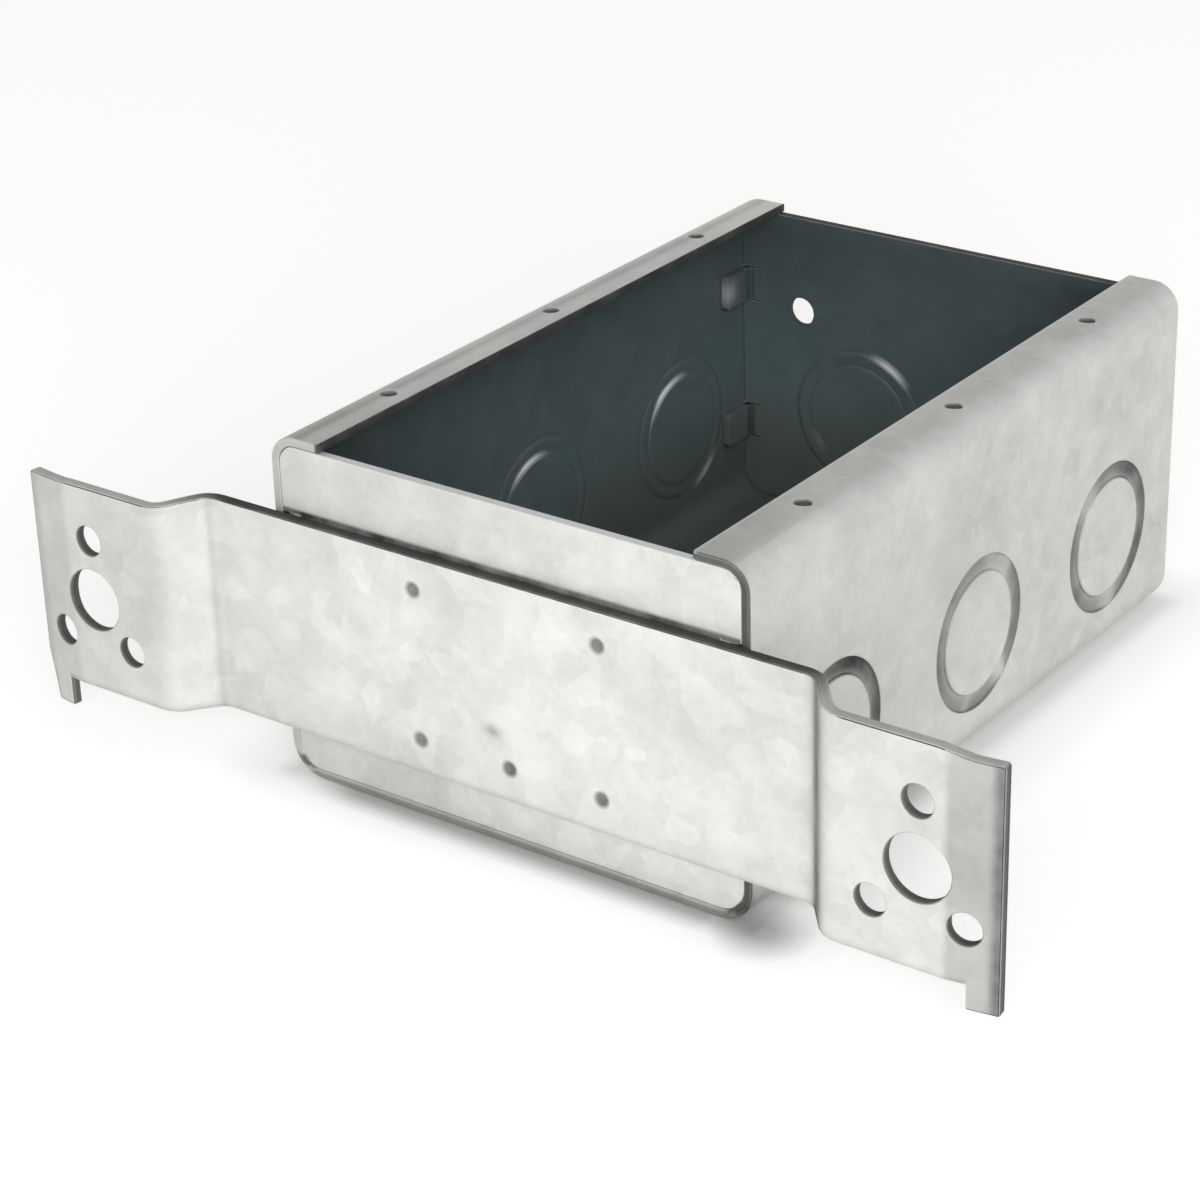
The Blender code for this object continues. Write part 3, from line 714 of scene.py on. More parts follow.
def make_body(box, looks):
    """The folded body with its screw holes, knockouts and ground hole."""
    fold, starts = body_fold(box)
    ends, side = box.box_length / 2, box.width / 2
    total = starts[-1]
    middle = total / 2
    places = gang_places(box)
    slug, screw = box.slug_large / 2, box.screw_hole / 2
    ground, bore = places[-1] - box.gang_pitch / 2, box.ground_hole / 2
    screw_s = box.flange - box.screw_inset
    slug_s = starts[3] - (box.slug_height - box.floor_bend)
    bends = [(starts[i], starts[i + 1], (starts[i + 1] - starts[i]) / 12) for i in (1, 3, 5, 7)]
    s_zones = bends + [(0, 0.0003, 0.0003), (total - 0.0003, total, 0.0003), (0, starts[1], 0.0006),
                       (starts[8], total, 0.0006), around(middle, *SCREW_ZONE)]
    t_zones = [around(y, SCREW_ZONE[0], 0.0007) for y in places] + [around(ground, *SCREW_ZONE)]
    sheet = Sheet(grid_lines(0, total, 0.0018, s_zones), grid_lines(-ends, ends, 0.0018, t_zones), box.sheet)
    for i, y in enumerate(places):
        for s in (screw_s, total - screw_s):
            sheet.add_round(s, y, screw, 0.0016, screw_profile(box, screw))
        # Knockouts: darkened as a dark shear line with painted shade, and arcs inside given painted
        # highlights.
        ties, (dark_amount, arcs), painted_gleam = SIDE_KNOCKOUTS[i % len(SIDE_KNOCKOUTS)]
        for turn, s in ((1, slug_s), (-1, total - slug_s)):
            profiles = knockout_profiles(box, turned(ties, turn), (dark_amount, turned(arcs, turn)),
                                         turned(painted_gleam, turn))
            sheet.add_round(s, y, slug, KNOCKOUT_ROOM, *profiles)
        profiles = two_tie_knockout(box, 23, 0.6, [(143, 28, 0.3, False)])
        sheet.add_round(middle, y, slug, KNOCKOUT_ROOM, *profiles)
    sheet.add_round(middle, ground, bore, 0.0018, screw_profile(box, bore))
    sheet.claim_cells()

    def place(s, t, h):
        """Fold in X and Z, run along Y."""
        point = fold.at(s, h)
        return np.stack([point[:, 0], t, point[:, 1]], 1)

    def paint(marks, table, points):
        """Wear of the body, with painted light and shade.

        Cut edges of the near end are bright on the left and darker on the right,
        with a painted shadow in the lower right corner and on the side beside it.
        The left flange's inner edge is dark, a dark cut edge with painted shade
        under it, and a lighter band runs along that flange; the right flange has a
        painted highlight along its edge, and two warm stains lie at the right rim. The
        sides are painted darker towards the bracket and at their foot as painted shade,
        bends are lighter, and the plates' tabs leave weld heat.
        """
        s, t = table[:, S], table[:, T]
        x, z = points[:, 0], points[:, 2]
        cut, grime, rub, heat = (marks[name] for name in ("cut", "grime", "rub", "heat"))
        outer = table[:, SIDE] > 0.5

        # Cut edges of the near end, and a painted shadow in its lower right corner
        near_end = t < 0.0002 - ends
        sole = near_end & (z < box.sheet + 0.0001)
        cut[near_end & (x < 0) & (z > 0.0035)] *= 0.25
        cut[sole] *= np.where(z[sole] > 0.55 * box.sheet, 0.35, 0.8)
        # Right cut edge of the near end darker, partly painted shade in the seam.
        grime += 0.35 * (near_end & (x > side - box.sheet - 0.0001))
        # Painted shadow in the near end's lower right corner and on the side's foot beside it.
        grime += 0.8 * (t < 0.0008 - ends) * bell(np.hypot(x - side + 0.002, z - 0.002), 0.0035)
        corner = smooth_step(t, 0.012 - ends, 0.001 - ends) * smooth_step(z, 0.010, 0.002)
        grime += 0.6 * outer * (x > side - box.floor_bend) * corner

        # Rim flanges: the left inner edge darkened, a dark cut edge with painted shade;
        # flange tops darker towards the near end and beside the left rim bend; a painted
        # highlight along the right edge, a lighter band on the left flange, and two warm stains
        on_top = outer * (z > box.depth - 0.0004)
        grime += 1.3 * (s > total - 0.0004) * (cut > 0.02)
        grime += 0.20 * on_top * np.clip((-0.035 - t) / 0.02, 0, 1)
        grime += 0.22 * on_top * bell(s - starts[8] - 0.0006, 0.0009)
        rub += 0.5 * (s < 0.0006) * (z > box.depth - 0.0006)
        rub += 0.25 * on_top * bell(s - total + 0.0022, 0.0016)
        at_rim = outer * smooth_step(np.abs(s - starts[1] - 0.002), 0.006, 0.002)
        for patch_value in (-0.0367, 0.0331):
            heat += 0.25 * at_rim * swell(t - patch_value, 0.0211)

        # Sides, bends and welds: the sides painted darker towards the bracket and at the foot as painted
        # shade, the bends lighter
        grime += 0.07 * outer * smooth_step(t, 0.045, -0.045)
        grime += 0.16 * outer * smooth_step(z, 0.0075, 0.0015)
        for low, high, _ in bends:
            rub += 0.35 * outer * np.sin(math.pi * np.clip((s - low) / (high - low), 0, 1)) ** 2
        for low, high in tab_spans(box):
            from_weld = np.hypot(z - (low + high) / 2, np.abs(t) - (ends - box.tab_weld))
            heat += 0.5 * outer * (np.abs(x) > side - 0.003) * bell(from_weld, 0.0019)

    return make_piece("folded_body", sheet, place, paint, steel_finish("body_zinc", looks.body, looks, 0.0),
                      "box_body", 0.00022)


def mirrored(profile):
    """The same profile on the other face: every height changes its sign."""
    return lambda theta: profile(theta) * [1, -1, 1, 1, 1]


def plate_fold(box):
    """Section of an end plate in X and outward distance, from tab to tab."""
    half = box.sheet / 2
    inner = box.width / 2 - box.sheet - box.seam
    bend = box.plate_bend - half
    tab = box.box_length / 2 - gang_places(box)[-1] - box.slug_large / 2 - 0.0003 - box.plate_bend
    face = 2 * (inner - box.plate_bend)
    runs = [(tab, 0.0), (bend * QUARTER, -QUARTER), (face, 0.0), (bend * QUARTER, -QUARTER), (tab, 0.0)]
    start = (-inner + half, box.box_length / 2 - box.plate_bend - tab)
    fold = Fold(start, QUARTER, runs)
    return fold, fold.starts


def make_end_plate(box, bracket, looks, name, node, end, knockouts):
    """An end plate with bent weld tabs, relief notches and cut corners. The far
    one has knockouts and nail holes, the near one the bracket's weld marks."""
    fold, starts = plate_fold(box)
    half = box.sheet / 2
    total = starts[-1]
    middle = total / 2
    inner = box.width / 2 - box.sheet - box.seam
    low, high = box.sheet + box.seam, box.depth - box.sheet - box.seam
    corner, foot = (bend - box.sheet - box.seam for bend in (box.rim_bend, box.floor_bend))
    notch = inner - box.plate_bend - box.relief_depth
    spans = tab_spans(box)
    relief = box.relief
    zones_t = [(low, low + foot, 0.0005), (high - corner, high, 0.0005)]
    for span in spans:
        zones_t += [(*span, 0.0007)]
        zones_t += [(z, z + relief, 0.0004) for z in (span[0] - relief, span[1])]
    zones_s = [(starts[1], starts[2], 0.0003), (starts[3], starts[4], 0.0003)]
    for reach, size, step in ((notch, 0.0001, 0.0004), (inner - corner, corner, 0.0005),
                              (inner - foot, foot, 0.0005)):
        zones_s += [(edge, edge + size, step) for edge in (middle + reach, middle - reach - size)]
    if knockouts:
        zones_s += [around(middle + side * box.nail_place, *NAIL_ZONE) for side in (-1, 1)]
        zones_t += [around(box.nail_height, *NAIL_ZONE)]
    else:
        zones_t += [(bracket.top - 0.0003, bracket.top + 0.0015, 0.0003)]
        for x, z in weld_spots(box, bracket):
            zones_s += [around(middle + x, *WELD_ZONE)]
            zones_t += [around(z, *WELD_ZONE)]
    sheet = Sheet(grid_lines(0, total, 0.0016, zones_s), grid_lines(low, high, 0.0016, zones_t),
                  box.sheet)
    from_middle = np.abs(sheet.middle_s - middle)
    in_tab = np.zeros(sheet.cells.shape, bool)
    in_notch = np.zeros(sheet.cells.shape, bool)
    for span in spans:
        in_tab |= (sheet.middle_t > span[0]) & (sheet.middle_t < span[1])
        in_notch |= (sheet.middle_t > span[0] - relief) & (sheet.middle_t < span[1] + relief)
    sheet.cut_away((from_middle > inner - 1e-5) & ~in_tab)
    sheet.cut_away((from_middle > notch) & in_notch & ~in_tab)

    if knockouts:
        slug, nail = box.slug_large / 2, box.nail_hole / 2
        # Painted highlights on arcs of the far knockouts' rims.
        left_painted_gleam = [(59, 26, 0.9, True), (215, 20, 0.2, False)]
        for side, painted_gleam in ((-1, left_painted_gleam), (1, [(70, 24, 0.25, False)])):
            sheet.add_round(middle + side * box.end_slug, box.slug_height, slug, KNOCKOUT_ROOM,
                            *two_tie_knockout(box, 120, 0.65, painted_gleam))
            sheet.add_round(middle + side * box.nail_place, box.nail_height, nail, 0.0014,
                            hole_profile(nail, half))
    else:
        weld = bracket.weld + 0.0001
        dent, level = dimple_profiles(weld, half, 0.0003, 0.2)
        for x, z in weld_spots(box, bracket):
            sheet.add_round(middle + x, z, weld, 0.0012, mirrored(level), mirrored(dent))
    sheet.claim_cells()
    for side in (-1, 1):
        sheet.square_to_round(middle + side * inner, high, side, 1, corner)
        sheet.square_to_round(middle + side * inner, low, side, -1, foot)

    def place(s, t, h):
        """Tabs follow the bend; all other rows stay flat to their edge."""
        bent = fold.at(s, h)
        flat = np.stack([s - middle, box.box_length / 2 - half + h], 1)
        tab = np.zeros(s.shape, bool)
        for span in spans:
            tab |= (t > span[0] - 1e-6) & (t < span[1] + 1e-6)
        point = np.where(tab[:, None], bent, flat)
        return np.stack([point[:, 0], end * point[:, 1], t], 1)

    def paint(marks, table, points):
        """Wear of a plate, with painted light and shade.

        Both have weld heat on their tabs and dark bends there. The near one has
        heat round the strap's welds, a painted shadow just above the strap, painted
        shade below it and on the left, a painted highlight on its lower right corner,
        and a top edge painted lighter with a painted highlight. The far one's tab ends
        get the inside's painted shade, its other cut edges are darkened, and the end of
        the upper left tab has a painted highlight.
        """
        from_middle = np.abs(table[:, S] - middle)
        x, y, z = points[:, 0], np.abs(points[:, 1]), points[:, 2]
        cut, grime, rub, heat = (marks[name] for name in ("cut", "grime", "rub", "heat"))
        outer = table[:, SIDE] > 0.5
        half_length = box.box_length / 2

        if not knockouts:
            for weld_x, weld_z in weld_spots(box, bracket):
                heat += 0.8 * bell(np.hypot(x - weld_x, z - weld_z), 0.0022)
            above, below = z - bracket.top, bracket.top - bracket.height - z
            # Painted shadow of the strap's top edge on the plate just above it.
            grime += 0.9 * outer * np.clip((0.0011 - above) / 0.0005, 0, 1) * (above > -0.001)
            # Painted shade below the strap, more to the left, and on the left above it.
            grime += outer * (below > -0.001) * (0.06 + 0.12 * np.clip((-0.013 - x) / 0.003, 0, 1))
            grime += 0.13 * outer * smooth_step(x, -0.018, -0.032) * (above > 0)
            # Top edge painted lighter, with a painted highlight along it.
            cut *= np.where(z > high - 0.0004, 0.1, 0.5)
            rub += 0.7 * (z > high - 0.0004)
            # Painted highlight on the lower right corner.
            rub += 0.9 * outer * bell(np.hypot(x - inner + 0.0017, z - low - 0.0037), 0.0012)
        for span in spans:
            from_weld = np.hypot(z - sum(span) / 2, half_length - box.tab_weld - y)
            heat += 0.5 * (np.abs(x) > inner - 0.003) * bell(from_weld, 0.0018)
            bend = (from_middle > inner - box.plate_bend) & (from_middle < starts[4] - middle + 0.0003)
            bend &= (z > span[0]) & (z < span[1])
            heat += 0.2 * bend
            grime += (0.75 if knockouts else 0.6) * bend
        if knockouts:
            # Far plate: the tab ends get the inside's painted shade, the upper left tab's end a painted
            # highlight, and the other cut edges are darkened.
            end_of_tab = y < half_length - box.plate_bend - 0.0005
            marks["inside"][end_of_tab] = 1
            cut[end_of_tab] *= 0.2
            from_end = np.hypot(table[:, S] - 0.0006, z - sum(spans[-1]) / 2)
            rub += 0.40 * (x < 0) * bell(from_end, 0.0021)
            grime += 0.8 * (cut > 0.05) * ~end_of_tab

    return make_piece(name, sheet, place, paint, steel_finish(name + "_zinc", looks.plate, looks, 0.03 * end),
                      node, 0.00018)


def bracket_fold(box, bracket):
    """Section of the bracket in X and forward distance: tip, ear, joggle, strap
    and the same again. Each bend takes radius times the tangent of half its
    angle off both of its runs."""
    half = bracket.sheet / 2
    slope, lean = bracket.slope, bracket.lean
    middle = box.box_length / 2 + bracket.seam + half
    start = bracket.span / 2 - bracket.ear
    stop = start + bracket.rise / math.tan(slope)
    tip = bracket.span / 2 - bracket.tip
    reach, tip_reach = bracket.bend * math.tan(slope / 2), bracket.tip_bend * math.tan(lean / 2)
    slant = math.hypot(stop - start, bracket.rise) - 2 * reach
    tip_run = bracket.tip / math.cos(lean) - tip_reach
    left = [(tip_run, 0.0), (bracket.tip_bend * lean, -lean), (tip - stop - reach - tip_reach, 0.0),
            (bracket.bend * slope, -slope), (slant, 0.0), (bracket.bend * slope, slope)]
    runs = left + [(2 * (start - reach), 0.0)] + left[::-1]
    first = (-bracket.span / 2, middle + bracket.rise - bracket.tip * math.tan(lean))
    fold = Fold(first, lean, runs)
    return fold, fold.starts


def shape_ends(sheet, fold, bracket, prong):
    """Bend the outline at both ends of the bracket: the left prong reaches further
    and narrows downwards, and the upper edge drops at the ears and at the tips."""
    bottom = bracket.top - bracket.height
    narrow = np.clip((bottom + bracket.prong_drop - sheet.t) / (2 * bracket.prong_drop), 0, 1)
    sheet.s = sheet.s + bracket.prong_taper * narrow * np.clip(1 - sheet.s / prong, 0, 1)
    below = np.clip((bottom - sheet.t) / bracket.prong_drop, 0, 1)
    sheet.t = sheet.t - bracket.prong_extra * below * (sheet.s < fold.starts[-1] / 2)
    joggle, tip_start = bracket.span / 2 - bracket.ear, bracket.span / 2 - bracket.tip
    x = fold.at(sheet.s.ravel(), np.zeros(sheet.s.size))[:, 0].reshape(sheet.s.shape)
    ear = smooth_step(np.abs(x), joggle, joggle + 0.0085)
    tip = smooth_step(np.abs(x), tip_start - 0.002, bracket.span / 2 - 0.004) * np.where(x > 0, 1.0, 0.3)
    near_top = np.clip(1 - (bracket.top - sheet.t) / 0.004, 0, 1)
    sheet.t = sheet.t - (bracket.ear_drop * ear + bracket.tip_drop * tip) * near_top


def make_bracket(box, bracket, looks):
    """The stud bracket: strap, joggles and pierced ears with a prong each."""
    fold, starts = bracket_fold(box, bracket)
    half = bracket.sheet / 2
    total = starts[-1]
    top, bottom = bracket.top, bracket.top - bracket.height
    prong_low = bottom - bracket.prong_drop
    prong = bracket.prong_width / math.cos(bracket.lean)
    corner, prong_corner = 0.0010, 0.0005
    joggle = bracket.span / 2 - bracket.ear
    hole, small = bracket.ear_hole / 2, bracket.small_hole / 2
    hole_s = bracket.ear_inset + starts[2] - bracket.tip - bracket.tip_bend * math.tan(bracket.lean / 2)
    hole_t = (top + bottom) / 2 - bracket.hole_drop
    bends = [(starts[i], starts[i + 1], (starts[i + 1] - starts[i]) / 7) for i in (1, 3, 5, 7, 9, 11)]
    zones_s = bends + [(0, corner, 0.00025), (total - corner, total, 0.00025), (0, prong, 0.0009),
                       (total - prong, total, 0.0009)]
    zones_s += [around(s, 0.0130, 0.00055) for s in (hole_s, total - hole_s)]
    zones_t = [(top - corner, top, 0.00025), (prong_low, prong_low + prong_corner, 0.00017),
               (prong_low, bottom, 0.0006), (bottom, bottom + bracket.prong_drop, 0.0009),
               (hole_t - 0.0130, hole_t + 0.0160, 0.00055)]
    for x, z in weld_spots(box, bracket):
        zones_s += [around(total / 2 + x, 0.0032, 0.0007)]
        zones_t += [around(z, 0.0032, 0.0007)]
    sheet = Sheet(grid_lines(0, total, 0.0016, zones_s), grid_lines(prong_low, top, 0.0014, zones_t),
                  bracket.sheet)
    from_end = np.minimum(sheet.middle_s, total - sheet.middle_s)
    sheet.cut_away((sheet.middle_t < bottom) & (from_end > prong))
    # Ear holes: walls darkened by 0.25, painted shade inside the holes.
    for s in (hole_s, total - hole_s):
        sheet.add_round(s, hole_t, hole, 0.0011, hole_profile(hole, half, 0.25))
        for turn in (math.radians(angle) for angle in (90, 225, 315)):
            sheet.add_round(s + bracket.small_circle * math.cos(turn),
                            hole_t + bracket.small_circle * math.sin(turn),
                            small, 0.0010, hole_profile(small, half, 0.25))
    for x, z in weld_spots(box, bracket):
        sheet.add_round(total / 2 + x, z, bracket.weld, 0.0012,
                        *dimple_profiles(bracket.weld, half, 0.00035))
    sheet.claim_cells()
    for side, edge in ((-1, 0.0), (1, total)):
        sheet.square_to_round(edge, top, side, 1, corner)
        sheet.square_to_round(edge, prong_low, side, -1, prong_corner)
    shape_ends(sheet, fold, bracket, prong)

    def place(s, t, h):
        """Fold in X and forward distance, run along Z."""
        point = fold.at(s, h)
        return np.stack([point[:, 0], -point[:, 1], t], 1)

    def paint(marks, table, points):
        """Wear of the bracket, with painted light and shade.

        Heat and a faint press mark lie round the welds. Cut edges are darkened along
        the strap's top edge with a painted shadow of the seam behind it, and along the
        lower edge with painted shade, and lighter on the ears. The right joggle is
        painted dark and the left one has a painted crease, both painted shade; the ears
        and the strap's left end are painted darker as shade, the strap darkens towards
        its lower edge, and both tips are painted darker and browner as painted shade.
        """
        s, z = table[:, S], table[:, T]
        cut, grime, heat = (marks[name] for name in ("cut", "grime", "heat"))
        front = table[:, SIDE] > 0
        on_strap = smooth_step(np.abs(points[:, 0]), joggle + 0.006, joggle - 0.004)
        marks["inside"] *= 0

        # Press marks
        for weld_x, weld_z in weld_spots(box, bracket):
            heat += 0.3 * bell(np.hypot(s - total / 2 - weld_x, z - weld_z), 0.0020)
        faint_mark = np.hypot((s - total / 2 + 0.0016) * 0.65, z - top + 0.0277)
        grime += 0.5 * front * bell(faint_mark, 0.0011)

        # Cut edges: the strap's top edge darkened with a painted shadow of the seam behind it, painted shade
        # along the lower edge, and a dark edge at the right tip
        upper = z > top - bracket.ear_drop - bracket.tip_drop - 0.0003
        cut *= np.where(upper, 0.35 + 0.65 * on_strap, 1.0)
        grime += upper * (cut > 0.02) * (0.12 + 0.75 * on_strap)
        lower = smooth_step(z, bottom + 0.0011, bottom + 0.0002) * (np.minimum(s, total - s) > prong)
        grime += 0.28 * lower * (table[:, SIDE] > 0.2)
        grime += 0.45 * (s > total - 0.0004) * (cut > 0.02)

        # Joggles, ears and tips: painted shade on the right joggle, in the left crease, on the ears and the
        # strap's left end, and on both tips, which the weld heat colour also browns; the strap darker towards
        # its lower edge
        right_joggle, left_crease = 0.5 * (starts[8] + starts[9]), 0.6 * starts[5] + 0.4 * starts[6]
        grime += 0.8 * front * np.exp(-((s - right_joggle) / 0.0037) ** 4)
        grime += 0.22 * front * bell(s - left_crease, 0.0011)
        grime += 0.11 * front * smooth_step(s, starts[5], starts[3])
        grime += 0.05 * front * smooth_step(s, total - starts[4], total - starts[3])
        grime += 0.07 * front * smooth_step(s, starts[6] + 0.03, starts[6])
        grime += 0.10 * front * smooth_step(z, bottom + 0.010, bottom + 0.001) * on_strap
        for from_tip, patch_value in ((s, 0.10), (total - s, 0.33)):
            tip_shade = patch_value * front * smooth_step(from_tip, 0.0098, 0.0082)
            grime += tip_shade + 1.2 * patch_value * front * smooth_step(from_tip, 0.0026, 0.0008)
            heat += tip_shade

    # The bracket's tone is raised by 0.07 over the body's: painted lighter, a lit copy for its front face.
    return make_piece("bracket_strap", sheet, place, paint,
                      steel_finish("bracket_zinc", looks.bracket, looks, 0.07), "stud_bracket",
                      0.00036)


# Materials


class Value:
    """A socket's value; arithmetic on it adds Math nodes."""

    def __init__(self, graph, socket):
        self.graph = graph
        self.socket = socket

    def _math(self, operation, *values):
        made = self.graph.node("ShaderNodeMath", {"operation": operation}, dict(enumerate(values)))
        return made["Value"]

    def __add__(self, other):
        return self._math("ADD", self, other)

    __radd__ = __add__

    def __sub__(self, other):
        return self._math("SUBTRACT", self, other)

    def __rsub__(self, other):
        return self._math("SUBTRACT", other, self)

    def __mul__(self, other):
        return self._math("MULTIPLY", self, other)

    __rmul__ = __mul__

    def __pow__(self, other):
        return self._math("POWER", self, other)

    def size(self):
        """The value without its sign."""
        return self._math("ABSOLUTE", self)

    def at_least(self, low):
        """The value, or the lower bound where it falls below."""
        return self._math("MAXIMUM", self, low)

    def limited(self, low, high):
        """The value as 0 at low, 1 at high and in proportion between."""
        made = self.graph.node("ShaderNodeMapRange", {"clamp": True},
                               {"Value": self, "From Min": low, "From Max": high})
        return made["Result"]


class Graph:
    """Node tree of a material or world, filled from nothing."""

    def __init__(self, owner):
        owner.use_nodes = True
        self.tree = owner.node_tree
        self.tree.nodes.clear()

    def node(self, kind, settings=None, values=None):
        """Add a node: its settings first, then the values or links of its sockets."""
        made = self.tree.nodes.new(kind)
        for key, value in (settings or {}).items():
            setattr(made, key, value)
        for key, value in (values or {}).items():
            if isinstance(value, Value):
                self.tree.links.new(value.socket, made.inputs[key])
            else:
                made.inputs[key].default_value = value
        return {socket.name: Value(self, socket) for socket in made.outputs if socket.enabled}

    def mix(self, share, first, second, blend="MIX"):
        """Mix two colours."""
        made = self.tree.nodes.new("ShaderNodeMix")
        made.data_type = "RGBA"
        made.blend_type = blend
        for index, value in ((0, share), (6, first), (7, second)):
            if isinstance(value, Value):
                self.tree.links.new(value.socket, made.inputs[index])
            else:
                made.inputs[index].default_value = value if index == 0 else (*value[:3], 1.0)
        return Value(self, made.outputs[2])

    def vector(self, operation, *values):
        """A vector operation on its values."""
        return self.node("ShaderNodeVectorMath", {"operation": operation}, dict(enumerate(values)))["Vector"]

    def split(self, vector):
        """The X, Y and Z of a vector."""
        return self.node("ShaderNodeSeparateXYZ", {}, {"Vector": vector})

    def place(self):
        """A point's place in its object."""
        return self.node("ShaderNodeTexCoord")["Object"]

    def mark(self, name):
        """A mark painted on the mesh."""
        return self.node("ShaderNodeAttribute", {"attribute_name": name})["Fac"]

    def noise(self, place, scale, detail, roughness=0.5):
        """Fractal noise of a place."""
        return self.node("ShaderNodeTexNoise", {}, {"Vector": place, "Scale": scale, "Detail": detail,
                                                    "Roughness": roughness})

    def cells(self, place, scale):
        """Random colour of the Voronoi cell that a place is in, by channel."""
        colour = self.node("ShaderNodeTexVoronoi", {}, {"Vector": place, "Scale": scale})["Color"]
        return self.node("ShaderNodeSeparateColor", {}, {"Color": colour})

    def grey(self, value):
        """A value as a grey colour."""
        return self.node("ShaderNodeCombineColor", {}, {"Red": value, "Green": value, "Blue": value})["Color"]


def steel_finish(name, coat, looks, offset):
    """Zinc-coated steel: crystal spangle, cloudy patina, fine rolling lines,
    bare cut edges, weld heat, a dark inside that is painted shade, and marks that
    darken for dirt and painted shade and lighten for wear and painted highlights."""
    material = bpy.data.materials.new(name)
    graph = Graph(material)
    place = graph.place()
    drift = graph.noise(place, 160.0, 2.0)["Color"]
    shifted = graph.vector("MULTIPLY_ADD", drift, (0.004, 0.004, 0.004), place)
    spangle = graph.cells(shifted, 210.0)["Red"]
    frost = graph.cells(shifted, 620.0)["Green"]
    cloud = graph.noise(place, 34.0, 5.0, 0.6)["Fac"]
    blot = graph.noise(place, 130.0, 4.0, 0.6)["Fac"]
    grain = graph.noise(place, 2400.0, 2.0)["Fac"]
    stretched = graph.vector("MULTIPLY", place, (60.0, 60.0, 1500.0))
    lines = graph.noise(stretched, 1.0, 2.0)["Fac"]

    tone = (0.86 + offset + 0.10 * spangle + 0.05 * frost + 0.17 * (cloud.limited(0.35, 0.68) - 0.5)
            + 0.10 * (blot.limited(0.3, 0.7) - 0.5) + 0.04 * (lines - 0.5))
    warm = cloud.limited(0.52, 0.72)
    metal = graph.mix(warm * 0.35, coat, tuple(c * k for c, k in zip(coat, (1.02, 0.985, 0.93))))
    metal = graph.mix(1.0, metal, graph.grey(tone), "MULTIPLY")

    inside, cut, grime = graph.mark("inside"), graph.mark("cut"), graph.mark("grime")
    rub, heat = graph.mark("rub"), graph.mark("heat")
    # Inside: a dark colour painted as shade, made darker still towards the rim as painted shade, with haze
    # patches and dust low down.
    height = graph.split(place)["Z"]
    inner = graph.mix(0.30 * cloud.limited(0.4, 0.65), looks.inner, looks.haze)
    shade = (0.55 + 0.55 * tone) * (1.0 - 0.62 * height.limited(0.026, 0.058))
    inner = graph.mix(1.0, inner, graph.grey(shade), "MULTIPLY")
    inner = graph.mix(0.5 - 0.5 * height.limited(0.002, 0.030), inner, looks.dust)
    metal = graph.mix(inside, metal, inner)
    edge = graph.mix(1.0, looks.cut, graph.grey(0.7 + 0.6 * lines), "MULTIPLY")
    metal = graph.mix(cut, metal, edge)
    metal = graph.mix(heat * (0.35 + 0.6 * blot), metal, looks.scorch_and_shade)
    # Darkening for dirt and painted shade; lightening for wear and painted highlights outside, and for
    # painted highlights inside.
    metal = graph.mix(grime * (0.75 + 0.35 * blot.limited(0.3, 0.7)), metal, looks.gap)
    metal = graph.mix(rub.limited(0.0, 1.0) * (0.8 + 0.2 * inside), metal,
                      graph.mix(inside, looks.rubbed, looks.painted_gleam))

    roughness = 0.41 + 0.12 * spangle + 0.10 * blot + 0.16 * cut + 0.2 * grime - 0.1 * rub
    relief = 0.5 * spangle + 0.25 * frost + 0.5 * blot + 0.18 * grain + 0.2 * lines
    bump = graph.node("ShaderNodeBump", {}, {"Height": relief, "Strength": 0.35,
                                             "Distance": 0.00010})["Normal"]
    surface = graph.node("ShaderNodeBsdfPrincipled", {}, {
        "Base Color": metal, "Roughness": roughness, "Metallic": 0.50 - 0.40 * grime - 0.30 * inside,
        "Normal": bump})["BSDF"]
    graph.node("ShaderNodeOutputMaterial", {}, {"Surface": surface})
    return material


def white_for_camera(graph):
    """One where the camera, a gloss or a clear surface sees this directly."""
    rays = graph.node("ShaderNodeLightPath")
    seen = rays["Is Camera Ray"] + rays["Is Glossy Ray"] + rays["Is Transmission Ray"]
    return seen.limited(0.0, 1.0)


def distance(x, y):
    """Length of a flat vector: the root of the sum of its squares."""
    return (x * x + y * y) ** 0.5


def floor_finish(looks, box):
    """Matt white floor that keeps the shadow. Where it is seen it is lifted towards
    white, the more the farther it lies from the box's outline, so that it stays darker
    near the box as painted shade: the distance is the root of the squares of how far
    a point lies outside the box in X and in Y. A narrow band in front of the near
    end is darkened as a painted shadow, and a spot at its right corner too."""
    material = bpy.data.materials.new("studio_floor")
    graph = Graph(material)
    place = graph.split(graph.place())
    x, y = place["X"], place["Y"]
    side, end = box.width / 2, box.box_length / 2
    away = distance((x.size() - side).at_least(0.0), (y.size() - end).at_least(0.0))
    # Painted shadow: a band in front of the near end and a spot at its right corner.
    front_shadow = y.limited(0.0, -0.01) * (x - 0.003).size().limited(0.046, 0.036)
    spot = distance(x - (side + 0.002), y + end).limited(0.009, 0.002)
    painted_shadow = 0.46 * front_shadow * (1.0 - away.limited(0.0015, 0.006)) + 0.5 * spot
    less_darkened = 1.0 - painted_shadow.limited(0.0, 1.0)
    # Less lift near the box, so the floor there stays darker: painted shade round the box.
    lift = 0.06 + 0.20 * away.limited(0.0, 0.004) + 0.13 * away.limited(0.004, 0.016)
    lift = white_for_camera(graph) * less_darkened * lift
    base = graph.mix(1.0, looks.floor, graph.grey(less_darkened), "MULTIPLY")
    surface = graph.node("ShaderNodeBsdfPrincipled", {}, {
        "Base Color": base, "Roughness": 0.9, "Specular IOR Level": 0.0,
        "Emission Color": graph.grey(lift), "Emission Strength": 1.0})["BSDF"]
    graph.node("ShaderNodeOutputMaterial", {}, {"Surface": surface})
    return material


# Stage


